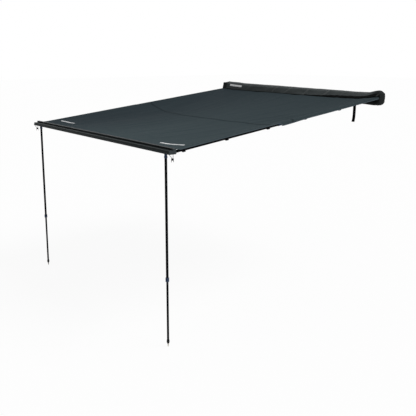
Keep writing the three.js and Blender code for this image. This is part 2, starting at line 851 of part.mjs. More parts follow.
function cordPath() {
  const middle = lockCentre;
  const low = lockTop - lockHeight * 0.2;
  const r = cordTurnRadius;
  const points = [
    [cordFrontHole, -frontTop + cordHoleDepth - seatGap],
    [cordFrontHole, -frontTop + 1],
    [cordFrontHole, -frontTop - 4],
    [cordFrontHole + 3, -frontTop - 10],
    [middle - r - 7, lockTop + 11.5],
    [middle - r - 2, lockTop + 5],
    [middle - r, lockTop + 1],
    [middle - r, low],
    [middle - r * 0.92, low - r * 0.39],
    [middle - r * 0.71, low - r * 0.71],
    [middle - r * 0.39, low - r * 0.92],
    [middle, low - r],
    [middle + r * 0.39, low - r * 0.92],
    [middle + r * 0.71, low - r * 0.71],
    [middle + r * 0.92, low - r * 0.39],
    [middle + r, low],
    [middle + r, lockTop + 1],
    [middle + r + 0.7, lockTop + 8],
    [cordBackHole + 0.3, -frontTop - 12],
    [cordBackHole, -frontTop - 5],
    [cordBackHole, -frontTop + 1],
    [cordBackHole, -frontTop + cordHoleDepth - seatGap],
  ];
  return new THREE.CatmullRomCurve3(points.map(([y, z]) => new THREE.Vector3(0, y, z)), false, 'centripetal');
}

function cordTube(radius) {
  const shape = new THREE.Shape(arc(0, 0, radius, 0, 315, 7).map(([x, y]) => new THREE.Vector2(x, y)));
  const settings = { steps: cordSteps, bevelEnabled: false, extrudePath: cordPath() };
  return solid(new THREE.ExtrudeGeometry(shape, settings));
}

function makeGuyLoop({ word, sign }) {
  const x = sign * (railLength / 2 - frontCapThickness / 2);
  const middle = lockCentre;
  add(`guy_loop_${word}`, cordTube(cordRadius).translate([x, 0, 0]), webbing, frontGroup);
  const body = box(
    -lockThickness / 2,
    lockThickness / 2,
    middle - lockWidth / 2,
    middle + lockWidth / 2,
    lockTop - lockHeight,
    lockTop,
  );
  const tails = [-1, 1].map((step) => {
    const tail = barZ(cordRadius, -cordTailLength - lockHeight, -lockHeight + cordRadius, 8);
    return tail.rotate([step * cordTailSplay, 0, 0]).translate([0, middle + step * cordRadius * 2, lockTop]);
  });
  const lock = unite(body, ...tails).subtract(cordTube(cordRadius + seatGap));
  add(`cord_lock_${word}`, lock.translate([x, 0, 0]), plastic, frontGroup);
}

// Canopy: rings across the cloth, one for each row from the back rail to the front rail

const canopyBack = beadY - beadRadius - seatGap;
const railFront = backRailDepth + grooveLip;
const canopyHeight = canopyOverRafter + canopyThickness / 2;

function frontPoint(y, z) {
  const point = new THREE.Vector3(0, y, z);
  return point.applyAxisAngle(new THREE.Vector3(1, 0, 0), -legLean).add(frontGroup.position);
}

const canopyFront = frontPoint(frontBeadY + beadRadius + seatGap, frontGrooveHeight);

function canopyEdge(y) {
  const line = rafterLine(y) + canopyHeight;
  const backShare = THREE.MathUtils.smoothstep(y, -rafterPivotSetback, canopyBack);
  const frontShare = THREE.MathUtils.smoothstep(-y, -canopyFront.y - frontRampLength, -canopyFront.y);
  const back = backGrooveHeight;
  return (line * (1 - backShare) + back * backShare) * (1 - frontShare) + canopyFront.z * frontShare;
}

const sagHalf = rafterX - outerTubeRadius - loopClearance;

function canopySurface(x, y) {
  const across = 1 - Math.abs(x / sagHalf) ** sagEdgePower;
  const along = Math.sin((Math.PI * (y - canopyBack)) / (canopyFront.y - canopyBack));
  return canopyEdge(y) - canopySag * Math.max(0, across) * Math.max(0, along) ** sagLengthPower;
}

function hemDrop(y) {
  const share = THREE.MathUtils.clamp((canopyBack - y) / (canopyBack - canopyFront.y), 0, 1);
  const back = THREE.MathUtils.smoothstep(-y, -canopyBack, rafterPivotSetback);
  const front = THREE.MathUtils.smoothstep(y, canopyFront.y, canopyFront.y + frontRampLength / 2);
  return (hemDropBack + (hemDropFront - hemDropBack) * share) * back * front;
}

function canopyRing(y) {
  const past = THREE.MathUtils.smoothstep(-y, railFront, railFront + hemFlareLength);
  const half = rafterX + THREE.MathUtils.lerp(hemBackOverhang, hemOverhang, past);
  const t = canopyThickness;
  const thin = t * 0.1;
  const [top, bottom] = [[], []];
  const inner = columnShares.map((share) => share * sagHalf);
  const columns = [...inner.slice(1).reverse().map((x) => -x), ...inner];
  columns.forEach((x) => {
    top.push([x, canopySurface(x, y) + t / 2]);
    bottom.unshift([x, canopySurface(x, y) - t / 2]);
  });
  top.unshift([-half, canopyEdge(y) + t / 2]);
  top.push([half, canopyEdge(y) + t / 2]);
  bottom.push([-half + t, canopyEdge(y) - t / 2]);
  bottom.unshift([half - t, canopyEdge(y) - t / 2]);
  const low = canopyEdge(y) - t / 2 - thin - hemDrop(y);
  return [
    [-half, low],
    ...top,
    [half, low],
    [half - t, low],
    ...bottom,
    [-half + t, low],
  ];
}

// The points of each ring run along the top and come back along the bottom, one for one
function loft(rings) {
  const count = rings[0].length;
  const positions = rings.flat(2);
  const index = [];
  for (let r = 0; r + 1 < rings.length; r += 1) {
    for (let i = 0; i < count; i += 1) {
      const next = (i + 1) % count;
      const [a, b, c, d] = [r * count + i, r * count + next, (r + 1) * count + next, (r + 1) * count + i];
      index.push(a, b, c, a, c, d);
    }
  }
  [0, rings.length - 1].forEach((r) => {
    for (let i = 0; i + 1 < count / 2; i += 1) {
      const [a, b, c, d] = [i, i + 1, count - 2 - i, count - 1 - i].map((n) => r * count + n);
      index.push(...(r === 0 ? [a, c, b, a, d, c] : [a, b, c, a, c, d]));
    }
  });
  const geometry = new THREE.BufferGeometry();
  geometry.setAttribute('position', new THREE.Float32BufferAttribute(positions, 3));
  geometry.setIndex(index);
  return geometry;
}

function makeCanopy() {
  const stops = [
    canopyBack,
    -railFront,
    -railFront - hemFlareLength,
    -rafterPivotSetback,
  ];
  const start = -rafterPivotSetback;
  const end = canopyFront.y + frontRampLength;
  for (let i = 1; i <= canopyRows; i += 1) {
    stops.push(start + ((end - start) * i) / canopyRows);
  }
  [0.67, 0.33, 0.1, 0].forEach((share) => stops.push(canopyFront.y + frontRampLength * share));
  const rings = stops.map((y) => canopyRing(y).map(([x, z]) => [x, y, z]));
  add('canopy', solid(loft(rings)), canopyCloth);
}

// Loops sewn under the canopy's edges, each round a rafter
function makeLoop(word, sign, number, share) {
  const halfWidth = outerTubeRadius + loopSideClearance;
  const top = canopyOverRafter - loopThickness - seatGap;
  const bottom = -outerTubeRadius - loopSlack;
  const t = loopThickness;
  const r = outerTubeRadius * 0.6;
  const ring = (grow) => [
    ...arc(halfWidth - r, top - r, r + grow, 0, 90, 3),
    ...arc(-halfWidth + r, top - r, r + grow, 90, 180, 3),
    ...arc(-halfWidth + r, bottom + r, r + grow, 180, 270, 3),
    ...arc(halfWidth - r, bottom + r, r + grow, 270, 360, 3),
  ];
  const outer = profileY(ring(t), -loopWidth / 2, loopWidth / 2);
  const inner = profileY(ring(0), -loopWidth, loopWidth);
  const y = frontRailY + share * reach;
  const group = new THREE.Group();
  group.position.set(sign * rafterX, y, rafterLine(y));
  group.rotation.x = rafterSlope;
  root.add(group);
  add(`canopy_loop_${word}_${number}`, outer.subtract(inner), webbing, group);
}

// Storage bag: the same wall thickness follows each line of points in (y, z)

function wallAlong(line, thickness) {
  const [left, right] = [[], []];
  line.forEach(([y, z], i) => {
    const before = line[Math.max(0, i - 1)];
    const after = line[Math.min(line.length - 1, i + 1)];
    const along = new THREE.Vector2(after[0] - before[0], after[1] - before[1]).normalize();
    left.push([y - (along.y * thickness) / 2, z + (along.x * thickness) / 2]);
    right.unshift([y + (along.y * thickness) / 2, z - (along.x * thickness) / 2]);
  });
  return [...left, ...right];
}

// What a table of shares gives at a place along the bag, from -1 at the left end to 1 at the right
function shareAt(table, place) {
  const last = stationShares.length - 2;
  const i = Math.min(last, Math.max(0, stationShares.findLastIndex((station) => station <= place)));
  const [from, to] = [stationShares[i], stationShares[i + 1]];
  return THREE.MathUtils.lerp(table[i], table[i + 1], (place - from) / (to - from));
}

const splinePoints = (pairs, steps) => new THREE.SplineCurve(pairs.map(([y, z]) => new THREE.Vector2(y, z)))
  .getPoints(steps)
  .map((p) => [p.x, p.y]);

const bagHalf = railLength / 2 - bagInset;

// Draws a line of the bag down, up and forwards near its end, so that the ends are domed
function domed(line, x) {
  const t = THREE.MathUtils.clamp((Math.abs(x) - bagHalf) / bagEndLength + 1, 0, 1);
  const drawn = 1 - Math.sqrt(1 - t * t);
  const [deep, high] = [1 - bagEndDepthShare * drawn, 1 - bagEndHeightShare * drawn];
  return line.map(([y, z]) => {
    const level = Math.sign(z) * (backRailHeight / 2 + 3 * seatGap);
    return [-bagDepth + (y + bagDepth) * deep, level + (z - level) * high];
  });
}

// Where the bag's sections stand along X, closer together in the domed ends
function bagStops(lastShare) {
  const ends = bagEndShares.filter((share) => share <= lastShare)
    .map((share) => bagHalf - bagEndLength * (1 - share));
  const inner = stationShares.slice(1, -1).map((place) => place * bagHalf);
  return [...ends.map((x) => -x).reverse(), ...inner, ...ends];
}

function bagUpper(x) {
  const place = x / bagHalf;
  const top = bagTop * shareAt(topShares, place);
  const hinge = flapHingeHeight * shareAt(hingeShares, place);
  return splinePoints([
    [-bagWall, backRailHeight / 2 + 3 * seatGap],
    [-bagWall, (backRailHeight / 2 + top) / 2],
    [-bagDepth * 0.19, top - bagWall / 2],
    [-bagDepth * 0.66, top * 0.93],
    [-flapHingeSetback + 2 * flapHingeGap, hinge + flapHingeGap],
  ], 14);
}

function bagLower(x) {
  const place = x / bagHalf;
  const drop = bagDrop * shareAt(bellyShares, place);
  return splinePoints([
    [-bagWall, -backRailHeight / 2 - 3 * seatGap],
    [-bagWall, -drop * 0.74],
    [-bagDepth * 0.2, -drop + bagWall / 2],
    [-bagDepth * 0.48, -drop + bagWall / 2],
    [-bagDepth * 0.76, -drop + bagWall / 2],
    [-bagDepth * 0.96, -drop * 0.75],
    [-bagDepth + bagWall / 2, -bagLipDrop],
  ], 16);
}

function flapLine(x) {
  const place = x / bagHalf;
  const hinge = flapHingeHeight * shareAt(hingeShares, place);
  const end = -flapHingeSetback - flapReach * shareAt(reachShares, place);
  const rest = canopySurface(x, end) + flapRest + (canopyThickness + bagWall) / 2;
  return splinePoints([
    [-flapHingeSetback, hinge],
    [(end - flapHingeSetback) / 2, (hinge + rest) * 0.53],
    [end, rest],
  ], 6);
}

// A wall that follows a line of the bag from one end to the other
function shellAlong(lineAt, lastShare) {
  return solid(loft(bagStops(lastShare).map((x) => {
    const outline = wallAlong(domed(lineAt(x), x), bagWall);
    return outline.map(([y, z]) => [x, y, z]);
  })));
}

// The closed end of the bag, which follows the dome outwards
function bagEnd(sign) {
  const stops = endWallShares.map((share) => sign * (bagHalf - bagEndLength * (1 - share)));
  return solid(loft(stops.map((x) => {
    const rim = [...bagLower(x), ...bagUpper(x).reverse()];
    return domed(rim, x).map(([y, z]) => [x, y, z]);
  })));
}

function makeBag() {
  const shells = [bagUpper, bagLower].map((lineAt) => shellAlong(lineAt, 1));
  const ends = sides.map(({ sign }) => bagEnd(sign));
  add('storage_bag', unite(...shells, ...ends), bagCloth);
}

function makeFlap() {
  add('bag_flap', shellAlong(flapLine, flapEndShare), bagCloth);
}

function makeStrap({ word, sign }) {
  const x = sign * (railLength / 2 - strapInset);
  const edge = (x + (sign * strapWidth) / 2) / bagHalf;
  const near = (x - (sign * strapWidth) / 2) / bagHalf;
  const top = -bagDrop * Math.max(shareAt(bellyShares, edge), shareAt(bellyShares, near)) - seatGap;
  const y = -bagDepth * 0.48;
  const line = splinePoints([
    [y, top],
    [y, top - strapLength * 0.4],
    [y - strapCurl * 0.15, top - strapLength * 0.75],
    [y - strapCurl, top - strapLength],
  ], 10);
  const outline = wallAlong(line, strapThickness);
  add(`retaining_strap_${word}`, profileX(outline, x - strapWidth / 2, x + strapWidth / 2), webbing);
}

// The whole awning

makeBackRail();
makeBead('rear_bead', beadY, backGrooveHeight, root);
makeBag();
makeFlap();
makeFrontRail();
makeBead('front_bead', frontBeadY, frontGrooveHeight, frontGroup);
makeCanopy();
sides.forEach((side) => {
  const { word, sign } = side;
  makeBackCap(side);
  makeRoofBracket(side);
  makeStrap(side);
  const rafter = rafterGroup(sign);
  makePivotBracket(word, rafter);
  makePivotPin(word, rafter);
  makeInnerRafter(word, rafter);
  makeOuterRafter(word, rafter);
  makeRafterCollar(word, rafter);
  makeRafterTip(word, rafter);
  makeFrontCap(side);
  const hinge = legGroup(sign, 0);
  makeLegBracket(word, hinge);
  makeLegPin(word, hinge);
  const leg = legGroup(sign, legSplay);
  makeKnuckle(word, leg);
  makeUpperLeg(word, leg);
  makeLegCollar(word, leg);
  makeLowerLeg(word, leg);
  makeFoot(word, leg);
  makeGuyLoop(side);
  loopPlaceShares.forEach((share, i) => makeLoop(word, sign, i + 1, share));
});

export default root;
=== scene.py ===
import math

import bpy
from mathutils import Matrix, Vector, noise


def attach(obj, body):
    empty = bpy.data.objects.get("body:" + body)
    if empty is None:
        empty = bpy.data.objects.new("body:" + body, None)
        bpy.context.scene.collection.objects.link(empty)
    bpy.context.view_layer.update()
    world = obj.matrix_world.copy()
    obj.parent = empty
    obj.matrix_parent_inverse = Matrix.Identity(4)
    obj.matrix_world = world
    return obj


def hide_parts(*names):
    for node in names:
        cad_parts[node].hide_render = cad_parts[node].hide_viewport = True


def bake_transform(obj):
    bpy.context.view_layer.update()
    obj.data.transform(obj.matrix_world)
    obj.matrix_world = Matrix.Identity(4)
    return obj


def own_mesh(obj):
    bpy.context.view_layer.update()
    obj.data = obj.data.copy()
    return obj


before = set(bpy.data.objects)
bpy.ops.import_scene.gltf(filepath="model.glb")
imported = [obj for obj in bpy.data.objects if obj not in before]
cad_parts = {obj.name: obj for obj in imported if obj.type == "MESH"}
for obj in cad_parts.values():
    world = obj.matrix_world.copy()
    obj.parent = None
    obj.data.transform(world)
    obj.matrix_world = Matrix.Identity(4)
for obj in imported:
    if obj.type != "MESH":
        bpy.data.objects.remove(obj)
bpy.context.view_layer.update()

# Vehicle side awning, opened out. Lengths are millimetres in the frame's axes unless a name says otherwise.
# Most values are those of the part's source. The cloth has its own for its height over the rafters, the hem's
# belly, bow and drop over the tube, the bag's top and hinge shares, and the falls of its ends' tops.

reach = 2757
rafter_slope = math.radians(6.1)
leg_lean = math.radians(0.8)
pivot_setback = 60
front_rail_y, front_rail_z = -2817, -280.4
front_rail_half = 22
back_rail_height = 46
back_groove_height = 16.5
rafter_x = 1215
outer_tube_radius = 11
collar_y = -1620
front_ground = -1907

canopy_back = -26.7
canopy_front_y, canopy_front_z = -2786.10, -266.33
canopy_over = 15.75
canopy_sag = 88
sag_edge_power, sag_length_power = 7, 0.8
canopy_thickness = 1.1
sag_half = 1201
front_ramp_length = 90
hem_overhang, hem_back_overhang = 16, 6
hem_drop_back, hem_drop_front = 21, 14
hem_belly, hem_bow = 7, 8.5
hem_drop_over_tube = 6
rail_front, hem_flare = 29, 6
seam_y = -1458
seam_half = 15
seam_pull = 95

bag_top, bag_drop, bag_depth = 78, 79, 120
hinge_setback, hinge_height = 114, 48
flap_reach, flap_rest = 76, 1.6
bag_half, flap_half = 1236, 1228.8
bag_end_length, bag_end_height, bag_end_depth = 40, 0.45, 0.17
bag_cloth_thickness = 1.6
bag_root = 23.9
bag_lip_drop = 38
left_top_fall = 0.2
right_top_fall, right_top_power, right_top_length = 0.55, 1.4, 60
end_lift = 1.4
stations = [-1, -0.95, -0.85, -0.7, -0.47, -0.2, 0.08, 0.3, 0.55, 0.72, 0.86, 0.92, 0.96, 1]
top_shares = [1.17, 1.22, 1.15, 1.03, 0.97, 0.9, 0.82, 0.75, 0.68, 0.62, 0.62, 0.87, 0.96, 0.93]
hinge_shares = [1.88, 1.62, 1.18, 1, 1, 0.97, 0.92, 0.86, 0.78, 0.72, 0.67, 0.8, 0.9, 0.9]
belly_shares = [1, 1, 0.98, 0.95, 0.93, 0.92, 0.92, 0.91, 0.9, 0.87, 1, 1.05, 1.04, 1]
reach_shares = [0.3, 0.32, 0.33, 0.34, 0.38, 0.5, 0.7, 0.85, 0.96, 1, 0.95, 0.8, 0.7, 0.62]
loop_shares = [0.046, 0.208, 0.383, 0.561, 0.745]
strap_x, strap_y, strap_length, strap_width = 892, -57.6, 212, 38
strap_curl = 14
cord_x, cord_radius = 1245, 1.75
sides = {"left": -1, "right": 1}


# Small numbers

def clamp(value, low=0.0, high=1.0):
    return max(low, min(high, value))


def smooth(value, low, high):
    t = clamp((value - low) / (high - low))
    return t * t * (3 - 2 * t)


def hill(value, middle, width):
    return math.exp(-((value - middle) / width) ** 2)


def between(a, b, t):
    return a + (b - a) * t


def rough(x, y, seed=0.0):
    return noise.noise(Vector((x, y, seed)))


def metres(point):
    return Vector(point) * 0.001


def share_at(table, place):
    i = max(n for n in range(len(stations) - 1) if stations[n] <= max(place, -1))
    return between(table[i], table[i + 1], (place - stations[i]) / (stations[i + 1] - stations[i]))


def spline(pairs, steps):
    """The even Catmull-Rom curve through the pairs, ends repeated, as steps + 1 points."""
    points = []
    last = len(pairs) - 1
    for n in range(steps + 1):
        where = last * n / steps
        i = min(int(where), last - 1) if n < steps else last - 1
        t = where - i
        p = [Vector(pairs[clamp(k, 0, last)]) for k in (i - 1, i, i + 1, i + 2)]
        v0, v1 = (p[2] - p[0]) / 2, (p[3] - p[1]) / 2
        points.append(
            (2 * p[1] - 2 * p[2] + v0 + v1) * t**3 + (3 * p[2] - 3 * p[1] - 2 * v0 - v1) * t * t + v0 * t + p[1]
        )
    return points


def lengths_along(points, unit=1.0):
    """How far each point is along the line through the points, in millimetres times the unit."""
    out = [0.0]
    for a, b in zip(points, points[1:]):
        out.append(out[-1] + (Vector(b) - Vector(a)).length * unit)
    return out


def resampled(points, count):
    """count points, evenly spaced along the line through the points."""
    steps = lengths_along(points)
    out, i = [], 0
    for n in range(count):
        want = steps[-1] * n / (count - 1)
        while i < len(points) - 2 and steps[i + 1] < want:
            i += 1
        t = (want - steps[i]) / max(steps[i + 1] - steps[i], 1e-9)
        out.append(points[i].lerp(points[i + 1], clamp(t)))
    return out


def front_point(x, y, z):
    """A point given from the front rail's middle, in the frame's axes."""
    c, s = math.cos(leg_lean), math.sin(leg_lean)
    return Vector((x, front_rail_y + y * c + z * s, front_rail_z - y * s + z * c))


# Camera, fitted to the photograph

image_size = 416
focal_pixels = 547.054
horizon_row = 190
camera_place = (4.53546, -5.22207, 0.39554)
camera_pitch, camera_azimuth = math.radians(13.450), math.radians(50.087)


def make_camera():
    data = bpy.data.cameras.new("camera")
    data.sensor_width = 36
    data.lens = focal_pixels / image_size * data.sensor_width
    data.shift_y = (horizon_row - image_size / 2) / image_size
    data.clip_end = 200
    obj = bpy.data.objects.new("camera", data)
    obj.location = camera_place
    forward = Vector((
        -math.sin(camera_azimuth) * math.cos(camera_pitch),
        math.cos(camera_azimuth) * math.cos(camera_pitch),
        -math.sin(camera_pitch),
    ))
    obj.rotation_mode = "QUATERNION"
    obj.rotation_quaternion = forward.to_track_quat("-Z", "Y")
    bpy.context.scene.collection.objects.link(obj)
    bpy.context.scene.camera = obj


make_camera()


# Materials, each built from nodes

wave_bands = 3.1831  # Bands a metre of a wave texture at scale 1


class Nodes:
    """A material with one Principled shader, and short calls for the nodes behind it."""

    def __init__(self, name, roughness, **sockets):
        self.material = bpy.data.materials.new(name)
        self.material.use_nodes = True
        self.tree = self.material.node_tree
        self.shader = self.tree.nodes["Principled BSDF"]
        self.shader.inputs["Roughness"].default_value = roughness
        for key, value in sockets.items():
            self.shader.inputs[key.replace("_", " ")].default_value = value

    def node(self, kind, settings=(), **links):
        made = self.tree.nodes.new(kind)
        for key, value in dict(settings).items():
            setattr(made, key, value)
        for key, value in links.items():
            self.put(made.inputs[key.replace("_", " ")], value)
        return made

    def put(self, socket, value):
        if isinstance(value, bpy.types.NodeSocket):
            self.tree.links.new(value, socket)
        elif value is not None:
            socket.default_value = (*value, 1.0) if socket.type == "RGBA" else value

    def place(self, scale=(1, 1, 1), uv=None):
        """Where on the piece: metres in the frame's axes, or metres on the cloth with uv."""
        if uv:
            source = self.node("ShaderNodeUVMap", {"uv_map": uv}).outputs["UV"]
        else:
            source = self.node("ShaderNodeTexCoord").outputs["Object"]
        return self.node("ShaderNodeMapping", Vector=source, Scale=scale).outputs["Vector"]

    def noise(self, where, scale, detail=3.0, rough_share=0.5):
        made = self.node("ShaderNodeTexNoise", Vector=where, Scale=scale, Detail=detail, Roughness=rough_share)
        return made.outputs["Fac"]

    def wave(self, where, scale, direction="X", distortion=0.0):
        settings = {"wave_type": "BANDS", "bands_direction": direction, "wave_profile": "SIN"}
        made = self.node("ShaderNodeTexWave", settings, Vector=where, Scale=scale, Distortion=distortion)
        return made.outputs["Fac"]

    def cells(self, where, scale):
        return self.node("ShaderNodeTexVoronoi", Vector=where, Scale=scale).outputs["Distance"]

    def math(self, operation, a, b=None):
        made = self.node("ShaderNodeMath", {"operation": operation})
        self.put(made.inputs[0], a)
        self.put(made.inputs[1], b)
        return made.outputs[0]

    def span(self, value, low, high, to_low=0.0, to_high=1.0):
        made = self.node("ShaderNodeMapRange", {"clamp": True}, Value=value)
        for key, number in zip(("From Min", "From Max", "To Min", "To Max"), (low, high, to_low, to_high)):
            made.inputs[key].default_value = number
        return made.outputs["Result"]

    def mix(self, share, a, b):
        made = self.node("ShaderNodeMix", {"data_type": "RGBA"})
        self.put(made.inputs[0], share)
        self.put(made.inputs[6], a)
        self.put(made.inputs[7], b)
        return made.outputs[2]

    def attribute(self, name):
        return self.node("ShaderNodeAttribute", {"attribute_name": name}).outputs["Fac"]

    def bump(self, height, strength, distance, normal=None):
        made = self.node("ShaderNodeBump", Height=height, Strength=strength, Distance=distance)
        self.put(made.inputs["Normal"], normal)
        return made.outputs["Normal"]

    def finish(self, colour=None, roughness=None, normal=None):
        self.put(self.shader.inputs["Base Color"], colour)
        self.put(self.shader.inputs["Roughness"], roughness)
        self.put(self.shader.inputs["Normal"], normal)
        return self.material


def coated_metal(name, dark, light, roughness, grain=900.0, rubs=0.35, shine=0.045):
    """Powder coat or anodising on aluminium: fine grain, faint rubbed marks along the part."""
    n = Nodes(name, roughness, Specular_IOR_Level=shine)
    where = n.place()
    fine = n.noise(where, grain, 2.0)
    patches = n.noise(where, 14.0, 4.0, 0.6)
    rubbed = n.noise(n.place((9, 9, 140)), 6.0, 4.0, 0.65)
    tone = n.mix(n.span(patches, 0.3, 0.7), dark, light)
    marks = n.mix(n.span(rubbed, 0.62, 0.74, 0.0, rubs), tone, [v * 1.8 + 0.004 for v in light])
    uneven = n.span(patches, 0.25, 0.75, roughness - 0.06, roughness + 0.08)
    return n.finish(marks, uneven, n.bump(fine, 0.25, 0.0002))


def moulded(name, dark, light, roughness):
    """Moulded plastic with a fine spark-eroded grain."""
    n = Nodes(name, roughness, Specular_IOR_Level=0.045)
    where = n.place()
    grains = n.cells(where, 700.0)
    patches = n.noise(where, 30.0, 3.0)
    tone = n.mix(n.span(patches, 0.3, 0.7), dark, light)
    dust = n.span(n.noise(where, 55.0, 5.0, 0.7), 0.58, 0.8, 0.0, 0.3)
    dusty = n.mix(dust, tone, [v + 0.03 for v in light])
    uneven = n.span(grains, 0.0, 0.8, roughness - 0.05, roughness + 0.1)
    return n.finish(dusty, uneven, n.bump(grains, 0.3, 0.0003))


def bare_steel(name):
    """Zinc plated steel, brushed along its length, slightly mottled."""
    n = Nodes(name, 0.42, Metallic=1.0)
    brushed = n.noise(n.place((900, 900, 30)), 1.0, 3.0)
    mottled = n.noise(n.place(), 90.0, 4.0, 0.6)
    tone = n.mix(n.span(mottled, 0.3, 0.7), (0.50, 0.47, 0.40), (0.68, 0.65, 0.57))
    uneven = n.span(brushed, 0.2, 0.8, 0.34, 0.52)
    return n.finish(tone, uneven, n.bump(brushed, 0.2, 0.0001))


def woven(n, period, uv):
    """Height of a plain weave on the cloth, 0 to 1."""
    where, turns = n.place(uv=uv), 1 / period / wave_bands
    return n.math("MAXIMUM", n.wave(where, turns, "X", 0.4), n.wave(where, turns, "Y", 0.4))


def canopy_cloth():
    """Ripstop canvas with a thin coating: weave, square rip threads, faint clouds and streaks, painted light that
    pales it towards the front and the right, and painted shade along the seam.
    """
    n = Nodes("canopy_cloth", 0.8, Specular_IOR_Level=0.012)
    where = n.place(uv="cloth")
    clouds = n.noise(n.place((0.9, 0.35, 1), uv="cloth"), 2.2, 4.0, 0.55)
    streaks = n.noise(n.place((9, 0.7, 1), uv="cloth"), 2.4, 3.0, 0.6)
    fine = n.noise(where, 260.0, 2.0)
    # Painted light: the front attribute pales the cloth towards the front and the right, where the light falls on it.
    tone = n.mix(n.attribute("front"), (0.0165, 0.0228, 0.0282), (0.0410, 0.0570, 0.0625))
    for share in (n.span(clouds, 0.3, 0.7, 0.0, 0.2), n.span(streaks, 0.45, 0.75, 0.0, 0.2)):
        tone = n.mix(share, tone, (0.045, 0.062, 0.068))
    tone = n.mix(n.span(fine, 0.35, 0.8, 0.0, 0.16), tone, (0.050, 0.068, 0.075))
    # Painted shade along the seam's fold.
    tone = n.mix(n.span(n.attribute("seam"), 0.1, 0.9, 0.0, 0.5), tone, (0.0062, 0.0095, 0.0115))
    weave = woven(n, 0.0022, "cloth")
    turns = 1 / 0.0095 / wave_bands
    square = n.math("MAXIMUM", n.wave(where, turns, "X"), n.wave(where, turns, "Y"))
    ribs = n.span(square, 0.93, 1.0)
    normal = n.bump(weave, 0.22, 0.0003)
    normal = n.bump(ribs, 0.35, 0.0004, normal)
    normal = n.bump(n.noise(n.place((6, 1.2, 1), uv="cloth"), 7.0, 4.0, 0.6), 0.35, 0.004, normal)
    uneven = n.span(clouds, 0.3, 0.7, 0.70, 0.80)
    return n.finish(tone, uneven, normal)


def bag_cloth(name="bag_cloth", lift=1.0, shine=0.04):
    """Heavy coated bag cloth: a coarse weave, scuffed in patches, paler on the crease ridges as a painted highlight,
    and darker where shade is painted.
    """
    n = Nodes(name, 0.62, Specular_IOR_Level=shine)
    where = n.place(uv="cloth")
    clouds = n.noise(where, 5.0, 4.0, 0.6)
    scuffs = n.noise(n.place((14, 60, 1), uv="cloth"), 3.0, 4.0, 0.7)
    tones = (0.0345, 0.0405, 0.0415), (0.0510, 0.0590, 0.0600), (0.092, 0.100, 0.099)
    dark, mid, pale = [[v * lift for v in tone] for tone in tones]
    tone = n.mix(n.span(clouds, 0.3, 0.7), dark, mid)
    tone = n.mix(n.span(scuffs, 0.58, 0.8, 0.0, 0.5), tone, pale)
    # Painted highlight: paler along the crease ridges.
    tone = n.mix(n.span(n.attribute("crease_highlight"), 0.15, 0.9, 0.0, 0.6), tone, pale)
    # Painted shade: darker towards black where the attribute is set.
    tone = n.mix(n.attribute("painted_shade"), tone, [v * 0.3 for v in dark])
    normal = n.bump(woven(n, 0.0026, "cloth"), 0.4, 0.0005)
    normal = n.bump(n.noise(where, 38.0, 4.0, 0.6), 0.35, 0.002, normal)
    uneven = n.span(clouds, 0.3, 0.7, 0.44, 0.6)
    return n.finish(tone, uneven, normal)


def webbing_cloth(name, dark, light, period=0.0021):
    """Woven tape: cross ribs with a diagonal warp."""
    n = Nodes(name, 0.85, Specular_IOR_Level=0.01)
    where = n.place(uv="cloth")
    ribs = n.wave(where, 1 / period / wave_bands, "Y", 0.3)
    warp = n.wave(where, 1 / (period * 0.7) / wave_bands, "DIAGONAL")
    fuzz = n.noise(where, 420.0, 3.0)
    tone = n.mix(n.math("MULTIPLY", ribs, fuzz), dark, light)
    height = n.math("ADD", ribs, n.math("MULTIPLY", warp, 0.5))
    return n.finish(tone, None, n.bump(height, 0.5, 0.0005))


def thread_cloth(name, dark, light):
    """Twisted sewing thread."""
    n = Nodes(name, 0.6, Specular_IOR_Level=0.4)
    twist = n.noise(n.place(), 2400.0, 2.0)
    tone = n.mix(n.span(twist, 0.35, 0.65), dark, light)
    return n.finish(tone, None, n.bump(twist, 0.4, 0.0002))


def braided(name):
    """A braided cord: crossing diagonal strands."""
    n = Nodes(name, 0.75, Specular_IOR_Level=0.03)
    one = n.wave(n.place(), 190.0, "DIAGONAL")
    two = n.wave(n.place((1, -1, 1)), 190.0, "DIAGONAL")
    strands = n.math("MAXIMUM", one, two)
    tone = n.mix(strands, (0.004, 0.004, 0.0047), (0.012, 0.0125, 0.0135))
    return n.finish(tone, None, n.bump(strands, 0.6, 0.0004))


def reflective_bar():
    """A pale reflective transfer with fine glass bead grain."""
    n = Nodes("reflective_bar", 0.45, Specular_IOR_Level=0.5)
    beads = n.cells(n.place(uv="cloth"), 1400.0)
    clouds = n.noise(n.place(uv="cloth"), 40.0, 4.0, 0.6)
    tone = n.mix(n.span(clouds, 0.3, 0.7), (0.62, 0.63, 0.64), (0.80, 0.81, 0.82))
    tone = n.mix(n.span(beads, 0.0, 0.6, 0.35, 0.0), tone, (0.45, 0.46, 0.48))
    return n.finish(tone, None, n.bump(beads, 0.3, 0.0002))


finishes = {
    "rail_black": coated_metal("rail_black", (0.0120, 0.0155, 0.0160), (0.0205, 0.0250, 0.0258), 0.45),
    "tube_black": coated_metal("tube_black", (0.0040, 0.0043, 0.0050), (0.0062, 0.0066, 0.0074), 0.5,
                               rubs=0.06, shine=0.006),
    "bracket_black": coated_metal("bracket_black", (0.012, 0.012, 0.013), (0.020, 0.020, 0.022), 0.52, 1300.0),
    "plastic_black": moulded("plastic_black", (0.0055, 0.006, 0.0068), (0.0105, 0.011, 0.0122), 0.5),
    # Lighter grey plastic for the front rail's caps: painted light on the caps.
    "plastic_grey": moulded("plastic_grey", (0.032, 0.039, 0.043), (0.045, 0.054, 0.059), 0.5),
    "collar_blue_grey": moulded("collar_blue_grey", (0.030, 0.046, 0.085), (0.042, 0.060, 0.105), 0.45),
    "steel": bare_steel("steel"),
    "canopy_cloth": canopy_cloth(),
    "bag_cloth": bag_cloth(lift=1.06),
    "webbing": webbing_cloth("webbing", (0.0025, 0.0027, 0.0031), (0.0070, 0.0074, 0.0082)),
    "cord": braided("cord"),
}
